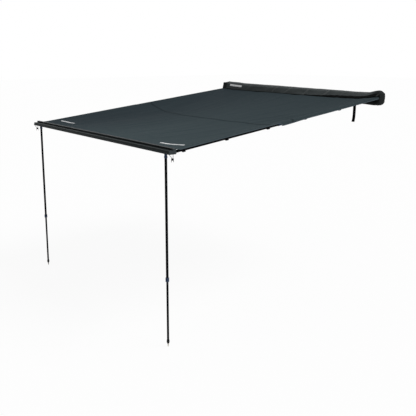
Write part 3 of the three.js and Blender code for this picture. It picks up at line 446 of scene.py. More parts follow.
# The bag cloth darkened almost to black: painted shadow, for the sheet along the flap's edge.
painted_shadow_cloth = bag_cloth("bag_painted_shadow", 0.12, 0.006)
# The bag cloth darkened for the end panels: painted shade.
end_painted_shade_cloth = bag_cloth("end_painted_shade_cloth", 0.32, 0.02)
# The bag cloth darkened for the belly: painted shade of the underside.
belly_painted_shade_cloth = bag_cloth("belly_painted_shade_cloth", 0.22, 0.012)
binding_tape = webbing_cloth("binding_tape", (0.0055, 0.006, 0.0065), (0.016, 0.017, 0.018), 0.0016)
# The hem tape is paler than the canopy: a painted highlight along the hem's edge.
hem_painted_highlight_cloth = webbing_cloth("hem_tape", (0.050, 0.066, 0.076), (0.100, 0.126, 0.142), 0.0016)
dark_thread = thread_cloth("dark_thread", (0.010, 0.012, 0.013), (0.035, 0.040, 0.043))
pale_bar = reflective_bar()


# Pieces

def new_piece(name, points, faces, material, uv=None):
    """A mesh piece from points in millimetres. uv holds metres on the cloth, one pair for each point."""
    mesh = bpy.data.meshes.new(name)
    mesh.from_pydata([metres(p) for p in points], [], faces)
    if uv:
        layer = mesh.uv_layers.new(name="cloth")
        for loop in mesh.loops:
            layer.data[loop.index].uv = uv[loop.vertex_index]
    mesh.polygons.foreach_set("use_smooth", [True] * len(mesh.polygons))
    mesh.materials.append(material)
    mesh.update()
    obj = bpy.data.objects.new(name, mesh)
    bpy.context.scene.collection.objects.link(obj)
    return obj


def grid_faces(rows, columns, wrap=False):
    """Faces between rows of points. With wrap, each row is a ring."""
    faces = []
    for r in range(rows - 1):
        for c in range(columns if wrap else columns - 1):
            d = (c + 1) % columns
            faces.append((r * columns + c, r * columns + d, (r + 1) * columns + d, (r + 1) * columns + c))
    return faces


def loop_faces(rows, columns):
    """Faces between rings of points, with the last ring joined to the first."""
    last = (rows - 1) * columns
    closing = [(last + c, last + (c + 1) % columns, (c + 1) % columns, c) for c in range(columns)]
    return grid_faces(rows, columns, wrap=True) + closing


def cloth_grid(name, rows, material, thickness=0.0, values=None):
    """A sheet through rows of points, with its own metres as a UV map, and its flat size as obj["flat"].

    values is {attribute: one number for each point}.
    """
    count = len(rows[0])
    across = lengths_along(rows[len(rows) // 2], 0.001)
    along = lengths_along([row[count // 2] for row in rows], 0.001)
    uv = [(u, v) for v in along for u in across]
    obj = new_piece(name, [p for row in rows for p in row], grid_faces(len(rows), count), material, uv)
    for key, numbers in (values or {}).items():
        obj.data.attributes.new(key, "FLOAT", "POINT").data.foreach_set("value", numbers)
    if thickness:
        solid = obj.modifiers.new("thickness", "SOLIDIFY")
        solid.thickness, solid.offset = thickness * 0.001, 0.0
    obj["flat"] = [across[-1], along[-1]]
    return obj


def frames_along(path, first):
    """(point, side, up) at each point of the path, turned as little as can be. first is up at the start."""
    out, up = [], Vector(first)
    for i, p in enumerate(path):
        ahead = (path[min(i + 1, len(path) - 1)] - path[max(i - 1, 0)]).normalized()
        up = (up - ahead * up.dot(ahead)).normalized()
        out.append((p, ahead.cross(up), up))
    return out


def swept(name, path, section, first, material, closed=False):
    """A bar along the path. section is (across, up) pairs round the bar; the ends have caps unless closed."""
    frames = frames_along([Vector(p) for p in path], first)
    count = len(section)
    points = [p + side * a + up * b for p, side, up in frames for a, b in section]
    if closed:
        faces = loop_faces(len(frames), count)
    else:
        faces = grid_faces(len(frames), count, wrap=True)
        faces += [tuple(reversed(range(count))), tuple(range(len(points) - count, len(points)))]
    girth = [0.0]
    for a, b in zip(section, section[1:]):
        girth.append(girth[-1] + math.dist(a, b) * 0.001)
    uv = [(u, v) for v in lengths_along(path, 0.001) for u in girth]
    return new_piece(name, points, faces, material, uv)


def round_section(radius, sides_count=10):
    turns = [2 * math.pi * k / sides_count for k in range(sides_count)]
    return [(radius * math.cos(t), radius * math.sin(t)) for t in turns]


def flat_section(width, thickness, bulge):
    """A tape whose two edges are drawn out by the bulge."""
    w, t = width / 2, thickness / 2
    return [(-w, -t), (w, -t), (w + bulge, 0), (w, t), (-w, t), (-w - bulge, 0)]


def tape_section(width, thickness):
    """A tape of that whole width, with rounded edges."""
    rounding = thickness * 0.35
    return flat_section(width - 2 * rounding, thickness, rounding)


def stitches(name, lines, material, length=3.4, pitch=5.0, thick=0.7):
    """Sewn stitches: short rounded threads along each line of (point, up) pairs, as one piece."""
    points, faces = [], []
    for line in lines:
        for n in range(int(lengths_along([p for p, _ in line])[-1] / pitch)):
            (start, up), (end, _) = along_line(line, n * pitch), along_line(line, n * pitch + length)
            ahead = (end - start).normalized()
            side = ahead.cross(up).normalized() * thick / 2
            lift = up.normalized() * thick * 0.55
            base = len(points)
            middle = (start + end) / 2 + lift * 0.5
            points += [start - up * 0.3, middle - side - lift, middle - side + lift * 0.6,
                       middle + side + lift * 0.6, middle + side - lift, end - up * 0.3]
            faces += [(base, base + k, base + 1 + k % 4) for k in (1, 2, 3, 4)]
            faces += [(base + 5, base + 1 + k % 4, base + k) for k in (1, 2, 3, 4)]
    return new_piece(name, points, faces, material)


def along_line(line, distance):
    """Where the line of (point, up) pairs is after that distance."""
    for (a, up_a), (b, up_b) in zip(line, line[1:]):
        step = (Vector(b) - Vector(a)).length
        if distance <= step and step > 0:
            t = distance / step
            return Vector(a).lerp(Vector(b), t), Vector(up_a).lerp(Vector(up_b), t)
        distance -= step
    return Vector(line[-1][0]), Vector(line[-1][1])


# Guy line loops: a cord from one hole of the front rail's end cap, through a lock, back to the other

def guy_points():
    """The loop's points from the front rail's middle, (y, z), as in the part's source."""
    front, back, low, r = -27, 5, -55.2, 5
    middle, top, lock_top = -1, -front_rail_half, -52
    quarter = [(1, 0), (0.92, 0.39), (0.71, 0.71), (0.39, 0.92)]
    turn = [(-a, b) for a, b in quarter] + [(0, 1)] + quarter[::-1]
    return [
        (front, top + 8.7), (front, top + 1), (front, top - 4), (front + 3, top - 10),
        (middle - r - 7, lock_top + 11.5), (middle - r - 2, lock_top + 5), (middle - r, lock_top + 1),
        *[(middle + a * r, low - b * r) for a, b in turn], (middle + r, lock_top + 1),
        (middle + r + 0.7, lock_top + 8), (back + 0.3, top - 12), (back, top - 5), (back, top + 1), (back, top + 8.7),
    ]


def centripetal(points, steps):
    """The centripetal Catmull-Rom curve through the points, as steps points for each stretch."""
    extended = [2 * points[0] - points[1], *points, 2 * points[-1] - points[-2]]
    out = []
    for i in range(len(points) - 1):
        p = extended[i:i + 4]
        k = [0.0]
        for a, b in zip(p, p[1:]):
            k.append(k[-1] + max((b - a).length, 1e-6) ** 0.5)
        for n in range(steps):
            t = between(k[1], k[2], n / steps)
            a = [p[j] + (p[j + 1] - p[j]) * ((t - k[j]) / (k[j + 1] - k[j])) for j in range(3)]
            b = [a[j] + (a[j + 1] - a[j]) * ((t - k[j]) / (k[j + 2] - k[j])) for j in range(2)]
            out.append(b[0] + (b[1] - b[0]) * ((t - k[1]) / (k[2] - k[1])))
    return [*out, points[-1]]


def make_guy_loop(word, sign):
    line = resampled(centripetal([front_point(sign * cord_x, y, z) for y, z in guy_points()], 8), 64)
    curve = bpy.data.curves.new(f"guy_cord_{word}", "CURVE")
    curve.dimensions = "3D"
    curve.bevel_depth, curve.bevel_resolution = cord_radius * 0.001, 3
    curve.use_fill_caps = True
    run = curve.splines.new("POLY")
    run.points.add(len(line) - 1)
    for point, place in zip(run.points, line):
        point.co = (*metres(place), 1)
    curve.materials.append(finishes["cord"])
    obj = bpy.data.objects.new(f"guy_cord_{word}", curve)
    bpy.context.scene.collection.objects.link(obj)
    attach(obj or obj, "front_assembly")
    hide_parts(f"guy_loop_{word}")


for side_word, side_sign in sides.items():
    make_guy_loop(side_word, side_sign)


# Stage: pale floor, white surroundings, soft light from above

def make_world():
    """White all round: dim as a light, bright to the camera."""
    world = bpy.data.worlds.new("surroundings")
    bpy.context.scene.world = world
    world.use_nodes = True
    tree = world.node_tree
    tree.nodes.clear()
    out = tree.nodes.new("ShaderNodeOutputWorld")
    mix = tree.nodes.new("ShaderNodeMixShader")
    for place, strength in ((1, 0.4), (2, 1.0)):
        light = tree.nodes.new("ShaderNodeBackground")
        light.inputs["Color"].default_value, light.inputs["Strength"].default_value = (1, 1, 1, 1), strength
        tree.links.new(light.outputs[0], mix.inputs[place])
    path = tree.nodes.new("ShaderNodeLightPath")
    last = path.outputs["Is Camera Ray"]
    for other in ("Is Glossy Ray", "Is Transmission Ray"):
        either = tree.nodes.new("ShaderNodeMath")
        either.operation = "MAXIMUM"
        tree.links.new(last, either.inputs[0])
        tree.links.new(path.outputs[other], either.inputs[1])
        last = either.outputs[0]
    tree.links.new(last, mix.inputs[0])
    tree.links.new(mix.outputs[0], out.inputs["Surface"])


def make_sun():
    data = bpy.data.lights.new("soft_light", "SUN")
    data.energy, data.angle = 2.3, math.radians(32)
    obj = bpy.data.objects.new("soft_light", data)
    obj.rotation_mode = "QUATERNION"
    obj.rotation_quaternion = Vector((-0.6, -0.5, -1)).to_track_quat("-Z", "Y")
    bpy.context.scene.collection.objects.link(obj)


def make_floor():
    n = Nodes("floor", 0.9)
    grain = n.noise(n.place(), 3.0, 3.0)
    n.put(n.shader.inputs["Base Color"], n.mix(grain, (0.80, 0.80, 0.80), (0.84, 0.84, 0.84)))
    glow = n.node("ShaderNodeEmission", Color=(1, 1, 1), Strength=1.0)
    mix = n.node("ShaderNodeMixShader")
    seen = n.math("MULTIPLY", n.node("ShaderNodeLightPath").outputs["Is Camera Ray"], 0.93)
    for socket, source in zip(mix.inputs, (seen, n.shader.outputs[0], glow.outputs[0])):
        n.put(socket, source)
    n.put(n.tree.nodes["Material Output"].inputs["Surface"], mix.outputs[0])
    size = 60000
    corners = [(x * size, y * size, front_ground) for x, y in ((-1, -1), (1, -1), (1, 1), (-1, 1))]
    new_piece("floor", corners, [(0, 1, 2, 3)], n.material)


make_world()
make_sun()
make_floor()


# Hard parts keep their shapes and get their finishes

# The first entry whose word is in a node's name gives its slot
# The front rail's caps get the lighter grey plastic: painted light.
slot_of_part = (
    ("collar", "collar_blue_grey"), ("knuckle", "collar_blue_grey"), ("front_rail_cap", "plastic_grey"),
    ("bolt", "steel"), ("spike", "steel"), ("pin", "steel"), ("bracket", "bracket_black"),
    ("cap", "plastic_black"), ("foot", "plastic_black"), ("lock", "plastic_black"),
    ("tip", "plastic_black"), ("tube", "tube_black"), ("rail", "rail_black"), ("bead", "cord"),
    ("guy", "cord"), ("loop", "webbing"), ("strap", "webbing"), ("bag", "bag_cloth"), ("canopy", "canopy_cloth"),
)


def finish_for(node_name):
    return finishes[next(slot for part, slot in slot_of_part if part in node_name)]


def dress_hard_parts():
    for name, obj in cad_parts.items():
        obj.data.materials.clear()
        obj.data.materials.append(finish_for(name))
        obj.data.polygons.foreach_set("use_smooth", [True] * len(obj.data.polygons))
        normals = obj.data.attributes.get("custom_normal")
        if normals:
            obj.data.attributes.remove(normals)
        weld = obj.modifiers.new("weld", "WELD")
        weld.merge_threshold = 0.00002
        split = obj.modifiers.new("edges", "EDGE_SPLIT")
        split.split_angle = math.radians(32)


dress_hard_parts()


# Canopy: one curved sheet from the back rail to the front rail, its edges turned down over the rafters

def rafter_line(y):
    return math.tan(rafter_slope) * (y + pivot_setback)


def canopy_edge(y):
    """Height of the canopy over the rafters, drawn to the grooves of the two rails at its ends."""
    back = smooth(y, -pivot_setback, canopy_back)
    front = smooth(-y, -canopy_front_y - front_ramp_length, -canopy_front_y)
    line = (rafter_line(y) + canopy_over) * (1 - back) + back_groove_height * back
    return line * (1 - front) + canopy_front_z * front


def canopy_surface(x, y):
    across = max(0, 1 - abs(x / sag_half) ** sag_edge_power)
    along = max(0, math.sin(math.pi * (y - canopy_back) / (canopy_front_y - canopy_back)))
    return canopy_edge(y) - canopy_sag * across * along**sag_length_power


def hem_drop(y):
    """How far the hem hangs down. In front of the collar it is short, so that the outer tube shows."""
    share = clamp((canopy_back - y) / (canopy_back - canopy_front_y))
    ends = smooth(-y, -canopy_back, pivot_setback) * smooth(y, canopy_front_y, canopy_front_y + 45)
    drop = between(hem_drop_back, hem_drop_front, share) + hem_belly * math.sin(math.pi * share)
    drop += hem_bow * smooth(-y, 1200, 1560)
    return between(drop, hem_drop_over_tube, smooth(-y, -collar_y - 30, 10 - collar_y)) * ends


def canopy_half(y):
    return rafter_x + between(hem_back_overhang, hem_overhang, smooth(-y, rail_front, rail_front + hem_flare))


def seam_shift(x):
    """How far the cross seam is pulled towards the back rail, most at the left."""
    return seam_pull * smooth(-x, 250, rafter_x)


# Tension folds: (x, y) at both ends, height and half width
folds = [
    (-392, -2300, -330, -1490, 5.0, 34), (-250, -2560, -215, -1620, 3.0, 42), (-690, -2450, -560, -1600, 3.5, 45),
    (330, -2500, 452, -1500, 5.0, 36), (560, -2620, 640, -1640, 3.0, 40), (90, -2600, 120, -1560, 2.6, 46),
    (830, -2600, 850, -1700, 2.6, 34), (-980, -2500, -900, -1700, 2.4, 40),
    (500, -1440, 730, -900, 5.5, 30), (640, -1440, 930, -880, 6.0, 28), (790, -1400, 1010, -700, 4.0, 26),
    (300, -1380, 520, -820, 3.5, 40), (-300, -1380, -420, -700, 2.5, 46), (-760, -1330, -930, -620, 3.0, 44),
    (60, -1350, 80, -600, 2.0, 60), (900, -700, 1120, -160, 3.0, 26), (-980, -600, -1110, -150, 2.6, 28),
    (560, -620, 760, -180, 2.4, 40), (-520, -560, -640, -180, 2.2, 44),
]


def fold_height(x, y):
    total = 0.0
    for x0, y0, x1, y1, height, width in folds:
        t = (y - y0) / (y1 - y0)
        if -0.15 < t < 1.15:
            centre = between(x0, x1, t) + 9 * math.sin(y / 140 + x0)
            d = (x - centre) / width
            if abs(d) < 4:
                ends = smooth(t, -0.15, 0.3) * smooth(1 - t, -0.15, 0.3)
                total += height * ends * math.exp(-d * d) * math.cos(1.5 * d)
    return total


def canopy_top(x, y):
    """The canopy's surface with its folds, ripples and seam."""
    inner = smooth(sag_half - abs(x), 0, 130)
    ends = smooth(-y, 45, 170) * smooth(y, canopy_front_y + 20, canopy_front_y + 150)
    lean = -0.34 * smooth(y, -1500, -1300) * (1 if x > 0 else -0.5)
    drift = x + lean * (y + 1456)
    ripples = 3.2 * rough(drift / 95, y / 900, 2.0) + 4.5 * rough(drift / 230, y / 1500, 5.0)
    near = smooth(y, -1750, -1500) * smooth(-y, 1180, 1400)
    ripples += 1.2 * near * rough(x / 28, y / 160, 9.0)
    from_seam = y - (seam_y + seam_shift(x))
    seam = 4.5 * hill(from_seam, 0, seam_half) + 1.2 * rough(x / 20, 0.0, 4.0) * hill(from_seam, 0, 40)
    edge_fade = smooth(sag_half - abs(x), -20, 30)
    return canopy_surface(x, y) + (fold_height(x, y) + ripples) * inner * ends + seam * edge_fade


def canopy_rows():
    """The rows' places along the cloth, closer at the seam and the rails."""
    rows = [canopy_back, -29, -33, -38, -45, -52, -60, -70, -82]
    y = -82.0
    while y > canopy_front_y + 100:
        y -= 4.0 if abs(y - seam_y) < 30 else 13.5
        rows.append(y)
    return rows + [canopy_front_y + d for d in (90, 78, 66, 54, 42, 30, 20, 10, 4, 0) if canopy_front_y + d < y]


def canopy_place(x, row):
    """Rows near the seam follow it."""
    return row + seam_shift(x) * hill(row, seam_y, 420)


def hem_side(row, sign):
    """The turned down edge at one side, from the top outwards."""
    half, top, drop = canopy_half(row), canopy_edge(row), 0.9 + hem_drop(row)
    wave = 1.3 * rough(row / 60, sign, 7.0) * smooth(drop, 3, 12)
    turn = [(0.27, 0.0), (0.53, 0.0), (0.73, 0.7), (0.86, 2.0), (0.95, 4.2)]
    points = [(between(sag_half, half, share), top - min(d, drop)) for share, d in turn]
    for share in (0.35, 0.55, 0.75, 0.9, 1.0):
        down = max(min(4.2, drop), drop * share)
        points.append((half - 0.6 + wave * share * share, top - down))
    placed = [(sign * x, canopy_place(sign * x, row), z) for x, z in points]
    return [(x, y, z + canopy_edge(y) - top) for x, y, z in placed]


def make_canopy():
    columns = 150
    inner = [sag_half * (2 * k / columns - 1) for k in range(columns + 1)]
    rows, seam, front = [], [], []
    for row in canopy_rows():
        middle = [(x, canopy_place(x, row)) for x in inner]
        middle = [(x, y, canopy_top(x, y)) for x, y in middle]
        points = [*reversed(hem_side(row, -1)), *middle, *hem_side(row, 1)]
        rows.append(points)
        # Painted shade along the seam's fold.
        seam += [hill(y - seam_y - seam_shift(x), 0, 13) for x, y, _ in points]
        # Painted light: paler towards the front and the right, where the light falls.
        front += [0.17 + smooth(x, -1100, 300) * (0.24 - 0.6 * y / reach) for x, y, _ in points]
    obj = cloth_grid("canopy_sheet", rows, finishes["canopy_cloth"], canopy_thickness,
                     {"seam": seam, "front": front})
    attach(obj, "vehicle_side")
    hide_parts("canopy")
    return obj


def follow_canopy(obj):
    """Attaches the piece to the vehicle side, with a mesh of its own."""
    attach(obj, "vehicle_side")
    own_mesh(obj)
    return obj


def on_canopy(x, y, lift):
    """A point that far above the canopy's cloth."""
    return Vector((x, y, canopy_top(x, y) + canopy_thickness / 2 + lift))


def seam_stitches():
    xs, up = [1195 * (2 * k / 240 - 1) for k in range(241)], Vector((0, 0, 1))
    lines = [[(on_canopy(x, seam_y + seam_shift(x) + offset, 0.0), up) for x in xs] for offset in (-8, 8)]
    return follow_canopy(stitches("seam_stitches", lines, dark_thread, 4.2, 6.4, 0.8))


def hem_stitches(sign, word):
    out = Vector((sign, 0, 0))
    hems = [hem_side(row, sign) for row in canopy_rows()[7:-8]]
    lines = [[(Vector(h[4]).lerp(Vector(h[-1]), share) + out * 0.75, out) for h in hems] for share in (0.45, 0.92)]
    return follow_canopy(stitches(f"hem_stitches_{word}", lines, dark_thread, 4.6, 8.0, 0.8))


def hem_tape(sign, word):
    """Binding folded over the hem's lower edge, in a tape paler than the canopy: a painted highlight along the edge.
    """
    path = [Vector(hem_side(row, sign)[-1]) + Vector((0, 0, 3.2)) for row in canopy_rows()[6:-5]]
    section = [(-1.1, -4.0), (0, -4.4), (1.1, -4.0), (1.25, 0), (1.1, 4.0), (0.55, 4.2), (-0.55, 4.2), (-1.1, 4.0),
               (-1.25, 0)]
    return follow_canopy(swept(f"hem_binding_{word}", path, section, (0, 0, 1), hem_painted_highlight_cloth))


def canopy_bar(word, x0, x1, y0, y1, depth):
    """A plain pale reflective bar near a front corner of the canopy."""
    rows, steps = [], 26
    pull = depth / (x1 - x0)
    for r in range(7):
        v = r / 6 * 2 - 1
        row = []
        for k in range(steps + 1):
            u = k / steps * 2 - 1
            rounded = math.sqrt(max(0.0, 1 - max(0.0, (abs(u) - 1 + pull) / pull) ** 2))
            x = between(x0, x1, k / steps)
            yy = between(y0, y1, k / steps) + v * depth / 2 * max(0.05, rounded)
            row.append(on_canopy(x, yy, 0.5))
        rows.append(row)
    return follow_canopy(cloth_grid(f"canopy_bar_{word}", rows, pale_bar))


def make_band(word, sign, number, share):
    """A webbing loop sewn under the canopy's edge, round the rafter."""
    y = front_rail_y + share * reach
    half, top, bottom, r = outer_tube_radius + 0.6, 13.5, -outer_tube_radius - 7.0, 6.6
    right, left, high, low = half - r, -half + r, top - r, bottom + r
    ring = []
    for cx, cz, start in ((right, high, 0), (left, high, 90), (left, low, 180), (right, low, 270)):
        for k in range(7):
            a = math.radians(start + 90 * k / 6)
            ring.append((cx + r * math.cos(a), cz + r * math.sin(a)))
    points, uv, count = [], [], len(ring)
    c, s = math.cos(rafter_slope), math.sin(rafter_slope)
    across = (-11, -10.6, 10.6, 11, 10.6, -10.6)
    out = (0.6, 1.2, 1.2, 0.6, 0.0, 0.0)
    for k, (rx, rz) in enumerate(ring):
        before, after = ring[k - 1], ring[(k + 1) % count]
        normal = Vector((after[1] - before[1], 0, -(after[0] - before[0]))).normalized()
        for a, o in zip(across, out):
            p = Vector((rx, a, rz)) + normal * o
            points.append((sign * rafter_x + p.x, y + p.y * c - p.z * s, rafter_line(y) + p.y * s + p.z * c))
            uv.append((a * 0.001 + o * 0.001, k * 0.003))
    faces = loop_faces(count, 6)
    obj = new_piece(f"loop_band_{word}_{number}", points, faces, finishes["webbing"], uv)
    follow_canopy(obj)
    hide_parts(f"canopy_loop_{word}_{number}")


canopy_sheet = make_canopy()
follow_canopy(canopy_sheet)
canopy_parts = [
    seam_stitches(),
    canopy_bar("left", -1130, -895, -2590, -2547, 21),
    canopy_bar("right", 816, 1139, -2630, -2620, 26),
]
for side_word, side_sign in sides.items():
    canopy_parts += [hem_stitches(side_sign, side_word), hem_tape(side_sign, side_word)]
    for band_number, band_share in enumerate(loop_shares, 1):
        make_band(side_word, side_sign, band_number, band_share)


# Storage bag: the cover comes up from the back rail and over, and runs on into the flap

def bag_upper(place):
    """The line (y, z) of the cover from the back rail over the bag's top to the flap's hinge."""
    top = bag_top * share_at(top_shares, place)
    hinge = hinge_height * share_at(hinge_shares, place)
    return [(-3, bag_root), (-3, (back_rail_height / 2 + top) / 2), (-bag_depth * 0.19, top - 1.5),
            (-bag_depth * 0.66, top * 0.93), (-hinge_setback + 1.2, hinge + 0.6)]


def bag_lower(place):
    """The line (y, z) of the belly from the back rail down and forwards, and up to the lip."""
    drop = bag_drop * share_at(belly_shares, place)
    return [(-3, -bag_root), (-3, -drop * 0.74), (-bag_depth * 0.2, -drop + 1.5), (-bag_depth * 0.48, -drop + 1.5),
            (-bag_depth * 0.76, -drop + 1.5), (-bag_depth * 0.96, -drop * 0.75), (-bag_depth + 1.5, -bag_lip_drop)]


def flap_end(place):
    end = -hinge_setback - flap_reach * share_at(reach_shares, place)
    return end, canopy_surface(clamp(place * bag_half, -flap_half, flap_half), end) + flap_rest + 2.25


def domed(p, x):
    """A point (y, z) of the bag drawn in near its end: the belly up and the front back, as in the part's source.

    The top comes down less at the left end than there, and at the right end more, and from further in.
    """
    t = clamp((abs(x) - bag_half) / bag_end_length + 1)
    drawn = 1 - math.sqrt(1 - t * t)
    level = math.copysign(bag_root, p[1])
    down = bag_end_height * drawn
    if p[1] > 0 and x > 0:
        down = right_top_fall * clamp((x - bag_half) / right_top_length + 1) ** right_top_power
    elif p[1] > 0:
        down = left_top_fall * drawn
    return Vector((between(-bag_depth, p[0], 1 - bag_end_depth * drawn), between(level, p[1], 1 - down)))


def bag_places(count):
    """Where the rows of the bag's cloth stand along X, closer together in the domed ends."""
    inner = bag_half - bag_end_length
    ends = [bag_half - bag_end_length * (1 - math.sin(math.pi / 2 * k / 12)) for k in range(1, 13)]
    middle = [inner * (2 * k / count - 1) for k in range(count + 1)]
    return [*[-x for x in reversed(ends)], *middle, *ends]


def flap_line(place):
    hinge = hinge_height * share_at(hinge_shares, place)
    end, rest = flap_end(place)
    return [(-hinge_setback, hinge), ((end - hinge_setback) / 2, (hinge + rest) * 0.53), (end, rest)]


# Light diagonal creases over the cover: place along the bag at the top and at the flap's edge, height
creases = [(-240, -280, 4.0), (10, -86, 4.5), (262, 237, 4.0), (570, 517, 4.0), (-700, -760, 2.5), (800, 740, 2.5)]


def crease_at(x, s):
    """How far a crease lifts the cover at share s of the way from the top to the flap's edge."""
    total = 0.0
    for top_x, low_x, height in creases:
        centre, fade = between(top_x, low_x, s) + 10 * math.sin(s * 7 + top_x), smooth(s, 0.0, 0.3)
        total += height * hill(x, centre, 13) * fade
        total -= height * 0.55 * hill(x, centre + 34, 24) * fade
    return total


def bag_normal(line, i):
    a, b = line[max(0, i - 1)], line[min(len(line) - 1, i + 1)]
    along = (b - a).normalized()
    return Vector((-along.y, along.x))


def make_cover():
    rows, crease_highlight, painted_shade = [], [], []
    for stop in bag_places(200):
        place = stop / bag_half
        line = resampled(spline(bag_upper(place), 24)[:-1] + spline(flap_line(place), 16), 46)
        row = []
        for i, p in enumerate(line):
            s = i / (len(line) - 1)
            x = between(bag_half, flap_half, smooth(s, 0.55, 0.7)) * place
            n = bag_normal(line, i)
            ends = smooth(s, 0.03, 0.2) * smooth(1 - abs(place), 0.0, 0.05)
            puffs = 2.6 * rough(x / 120, s * 3, 1.0) + rough(x / 34, s * 6, 3.0)
            lift = puffs * ends * smooth(1 - s, 0.0, 0.15)
            c = crease_at(x, clamp((s - 0.3) / 0.7)) * smooth(s, 0.25, 0.45) * smooth(1 - s, -0.02, 0.12)
            edge = 1.5 * rough(x / 70, 2.0, 8.0) * smooth(s, 0.85, 1.0)
            q = domed(p - n * lift + n * c, x)
            row.append((x, q.x, q.y + edge))
            # Painted highlight: the crease ridges' height also pales the cloth.
            crease_highlight.append(clamp(c / 4))
            # Painted shade: darker at both ends of the cover and, towards the right, over its back and top.
            ends_painted_shade = max(smooth(-x, 1140, 1175), 0.9 * smooth(x + 60 * s, 1180, 1215))
            painted_shade.append(max(ends_painted_shade, 0.2 * (1 - smooth(s, 0.3, 0.6)) * smooth(x, -300, 600)))
        rows.append(row)
    obj = cloth_grid("bag_cover", rows, finishes["bag_cloth"], bag_cloth_thickness,
                     {"crease_highlight": crease_highlight, "painted_shade": painted_shade})
    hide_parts("bag_flap", "storage_bag")
    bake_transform(obj)
    return obj, rows


def make_belly():
    rows = []
    for x in bag_places(180):
        place = x / bag_half
        line = resampled(spline(bag_lower(place), 36), 40)
        row = []
        for i, p in enumerate(line):
            s = i / (len(line) - 1)
            ends = smooth(s, 0.05, 0.25) * smooth(1 - abs(place), 0.0, 0.05)
            puffs = 3.0 * rough(x / 130, s * 3, 11.0) + 1.1 * rough(x / 36, s * 6, 13.0)
            q = domed(p + bag_normal(line, i) * (puffs * ends * smooth(1 - s, 0.0, 0.2)), x)
            row.append((x, q.x, q.y))
        rows.append(row)
    # The belly's darker cloth is painted shade.
    obj = cloth_grid("bag_belly", rows, belly_painted_shade_cloth, bag_cloth_thickness,
                     {"crease_highlight": [0.0] * (len(rows) * 40)})
    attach(obj, "vehicle_side")
    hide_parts("storage_bag")
    return obj, rows


def end_rim(x, grow=0.0):
    """The closed end's outline at x, as (y, z) points, grown outwards."""
    place = x / bag_half
    lower, upper = spline(bag_lower(place), 30), spline(bag_upper(place), 30)
    rim = [domed(p, x) for p in (*lower, *reversed(upper), lower[0])]
    centre = sum(rim, Vector((0, 0))) / len(rim)
    return resampled([p + (p - centre).normalized() * grow for p in rim], 97)[:-1]


def make_end(word, sign):
    """A puffed end panel over the domed end, from its sewn rim inwards, with pulls towards the seam."""
    stops = [bag_half - bag_end_length * (1 - t) for t in (0.1, 0.3, 0.5, 0.7, 0.83, 0.92, 0.98, 1.0)]
    points = []
    for n, x in enumerate(stops):
        out = sign * (x + (end_lift if n > 4 else 0.4))
        points += [(out, *p) for p in end_rim(sign * x, end_lift if n else 0.6)]
    rim = end_rim(sign * bag_half, end_lift)
    count = len(rim)
    centre = sum(rim, Vector((0, 0))) / count
    rings = 10
    for r in range(1, rings + 1):
        share = r / rings
        for k, p in enumerate(rim):
            q = centre.lerp(p, 1 - share * 0.985)
            dome = 2.5 * (1 - (1 - share) ** 2.2)
            pull = 1.2 * rough(k / 5.0, share * 3, sign * 5.0) * math.sin(math.pi * min(1, share * 1.4))
            points.append((sign * (bag_half + end_lift + dome + pull), *q))
    uv = [(y * 0.001, z * 0.001) for _, y, z in points]
    rows = len(stops) + rings
    faces = grid_faces(rows, count, wrap=True)
    faces.append(tuple(range((rows - 1) * count, rows * count)))
    # The end panel's darker cloth is painted shade.
    obj = new_piece(f"bag_end_{word}", points, faces, end_painted_shade_cloth, uv)
    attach(obj, "vehicle_side")
    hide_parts("storage_bag")
    seam = [Vector((sign * stops[0], p.x, p.y)) for p in end_rim(sign * stops[0], 1.2)]
    piping = swept(f"bag_piping_{word}", seam, round_section(1.8), (sign, 0, 0), binding_tape, closed=True)
    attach(piping, "vehicle_side")


def flap_trim(rows):
    """Binding and zip tape with its coil along the flap's free edge."""
    edge = [Vector(row[-1]) for row in rows[1:-1]]
    inner = [Vector(row[-4]) for row in rows[1:-1]]
    binding = swept("flap_binding", edge, flat_section(3.2, 2.4, 0.4), (0, 0, 1), binding_tape)
    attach(binding, "flap")
    coil = swept("flap_zip", [e + Vector((0, 1.0, -1.9)) for e in edge], round_section(1.3, 8), (0, 0, 1),
                 finishes["plastic_black"])
    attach(coil, "flap")
    line = [(e.lerp(i, 0.9) + Vector((0, 0, 1.4)), Vector((0, -0.4, 1))) for e, i in zip(edge, inner)]
    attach(stitches("flap_stitches", [line], dark_thread, 3.6, 6.0, 0.7), "flap")


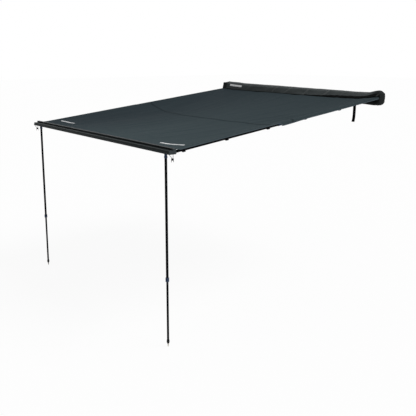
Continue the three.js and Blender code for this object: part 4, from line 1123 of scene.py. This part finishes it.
def flap_painted_shadow(rows):
    """A black sheet on the flap's edge, a painted shadow of the gap under the flap, wide where the flap stands off
    the canopy at the right.
    """
    made = []
    for row in [row for row in rows if 260 < row[40][0] < 1212]:
        x = row[40][0]
        width = 30 * smooth(x, 300, 800) + 24 * smooth(x, 1080, 1180) + 6 * rough(x / 52, 4.0, 6.0) + 3
        path = [Vector(p) for p in row[::-1]]
        total, line = 0.0, [path[0] + Vector((0, -1.4, 0.2))]
        for a, b in zip(path, path[1:]):
            total += (b - a).length
            if total > max(width, 4.0):
                break
            line.append(b)
        made.append([p + Vector((0, -2.0, 2.6)) for p in resampled([*line, b], 8)])
    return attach(cloth_grid("flap_painted_shadow", made, painted_shadow_cloth, 1.2), "flap")


def lip_trim(rows):
    """The belly's upper edge: zip tape with a coil, and a binding."""
    edge = [Vector(row[-1]) for row in rows[1:-1]]
    coil = swept("lip_zip", [e + Vector((0, 0, 2.6)) for e in edge], round_section(1.4, 8), (0, 0, 1),
                 finishes["plastic_black"])
    binding = swept("lip_binding", edge, flat_section(2.8, 4.8, 0.2), (0, 0, 1), binding_tape)
    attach(coil, "vehicle_side")
    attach(binding, "vehicle_side")


def bag_bar(rows):
    """A plain pale reflective bar on the cover near its left end."""
    near = [row for row in rows if -1105 <= row[30][0] <= -865]
    made = [[Vector(p) + Vector((0, -1.1, 0.8)) for p in row[32:38]] for row in near]
    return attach(cloth_grid("bag_bar", made, pale_bar), "vehicle_side")


def strap_line(sign):
    """The strap's line (y, z) from the belly down, its end curled forwards."""
    edges = [sign * (strap_x + side * strap_width / 2) / bag_half for side in (1, -1)]
    top = -bag_drop * max(share_at(belly_shares, edge) for edge in edges) - 0.3
    stops = ((0, 0), (0, 0.4), (0.15, 0.75), (1, 1))
    return spline([(strap_y - strap_curl * a, top - strap_length * b) for a, b in stops], 40)


def make_strap(word, sign):
    """A strap of webbing, its end folded and sewn."""
    line = [Vector((sign * strap_x, p.x, p.y)) for p in strap_line(sign)]
    strap = swept(f"strap_{word}", line, tape_section(strap_width, 1.5), (0, 1, 0), finishes["webbing"])
    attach(strap, "vehicle_side")
    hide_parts(f"retaining_strap_{word}")
    end = [p + Vector((0, 1.5, 0.0)) for p in line[-8:]]
    fold = swept(f"strap_fold_{word}", end, tape_section(strap_width, 1.4), (0, 1, 0), finishes["webbing"])
    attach(fold, "vehicle_side")


bag_cover, cover_rows = make_cover()
bag_belly, belly_rows = make_belly()
for side_word, side_sign in sides.items():
    make_end(side_word, side_sign)
    make_strap(side_word, side_sign)
flap_trim(cover_rows)
flap_painted_shadow(cover_rows)
lip_trim(belly_rows)
bag_bar(cover_rows)


bpy.context.scene.view_settings.view_transform = "Standard"
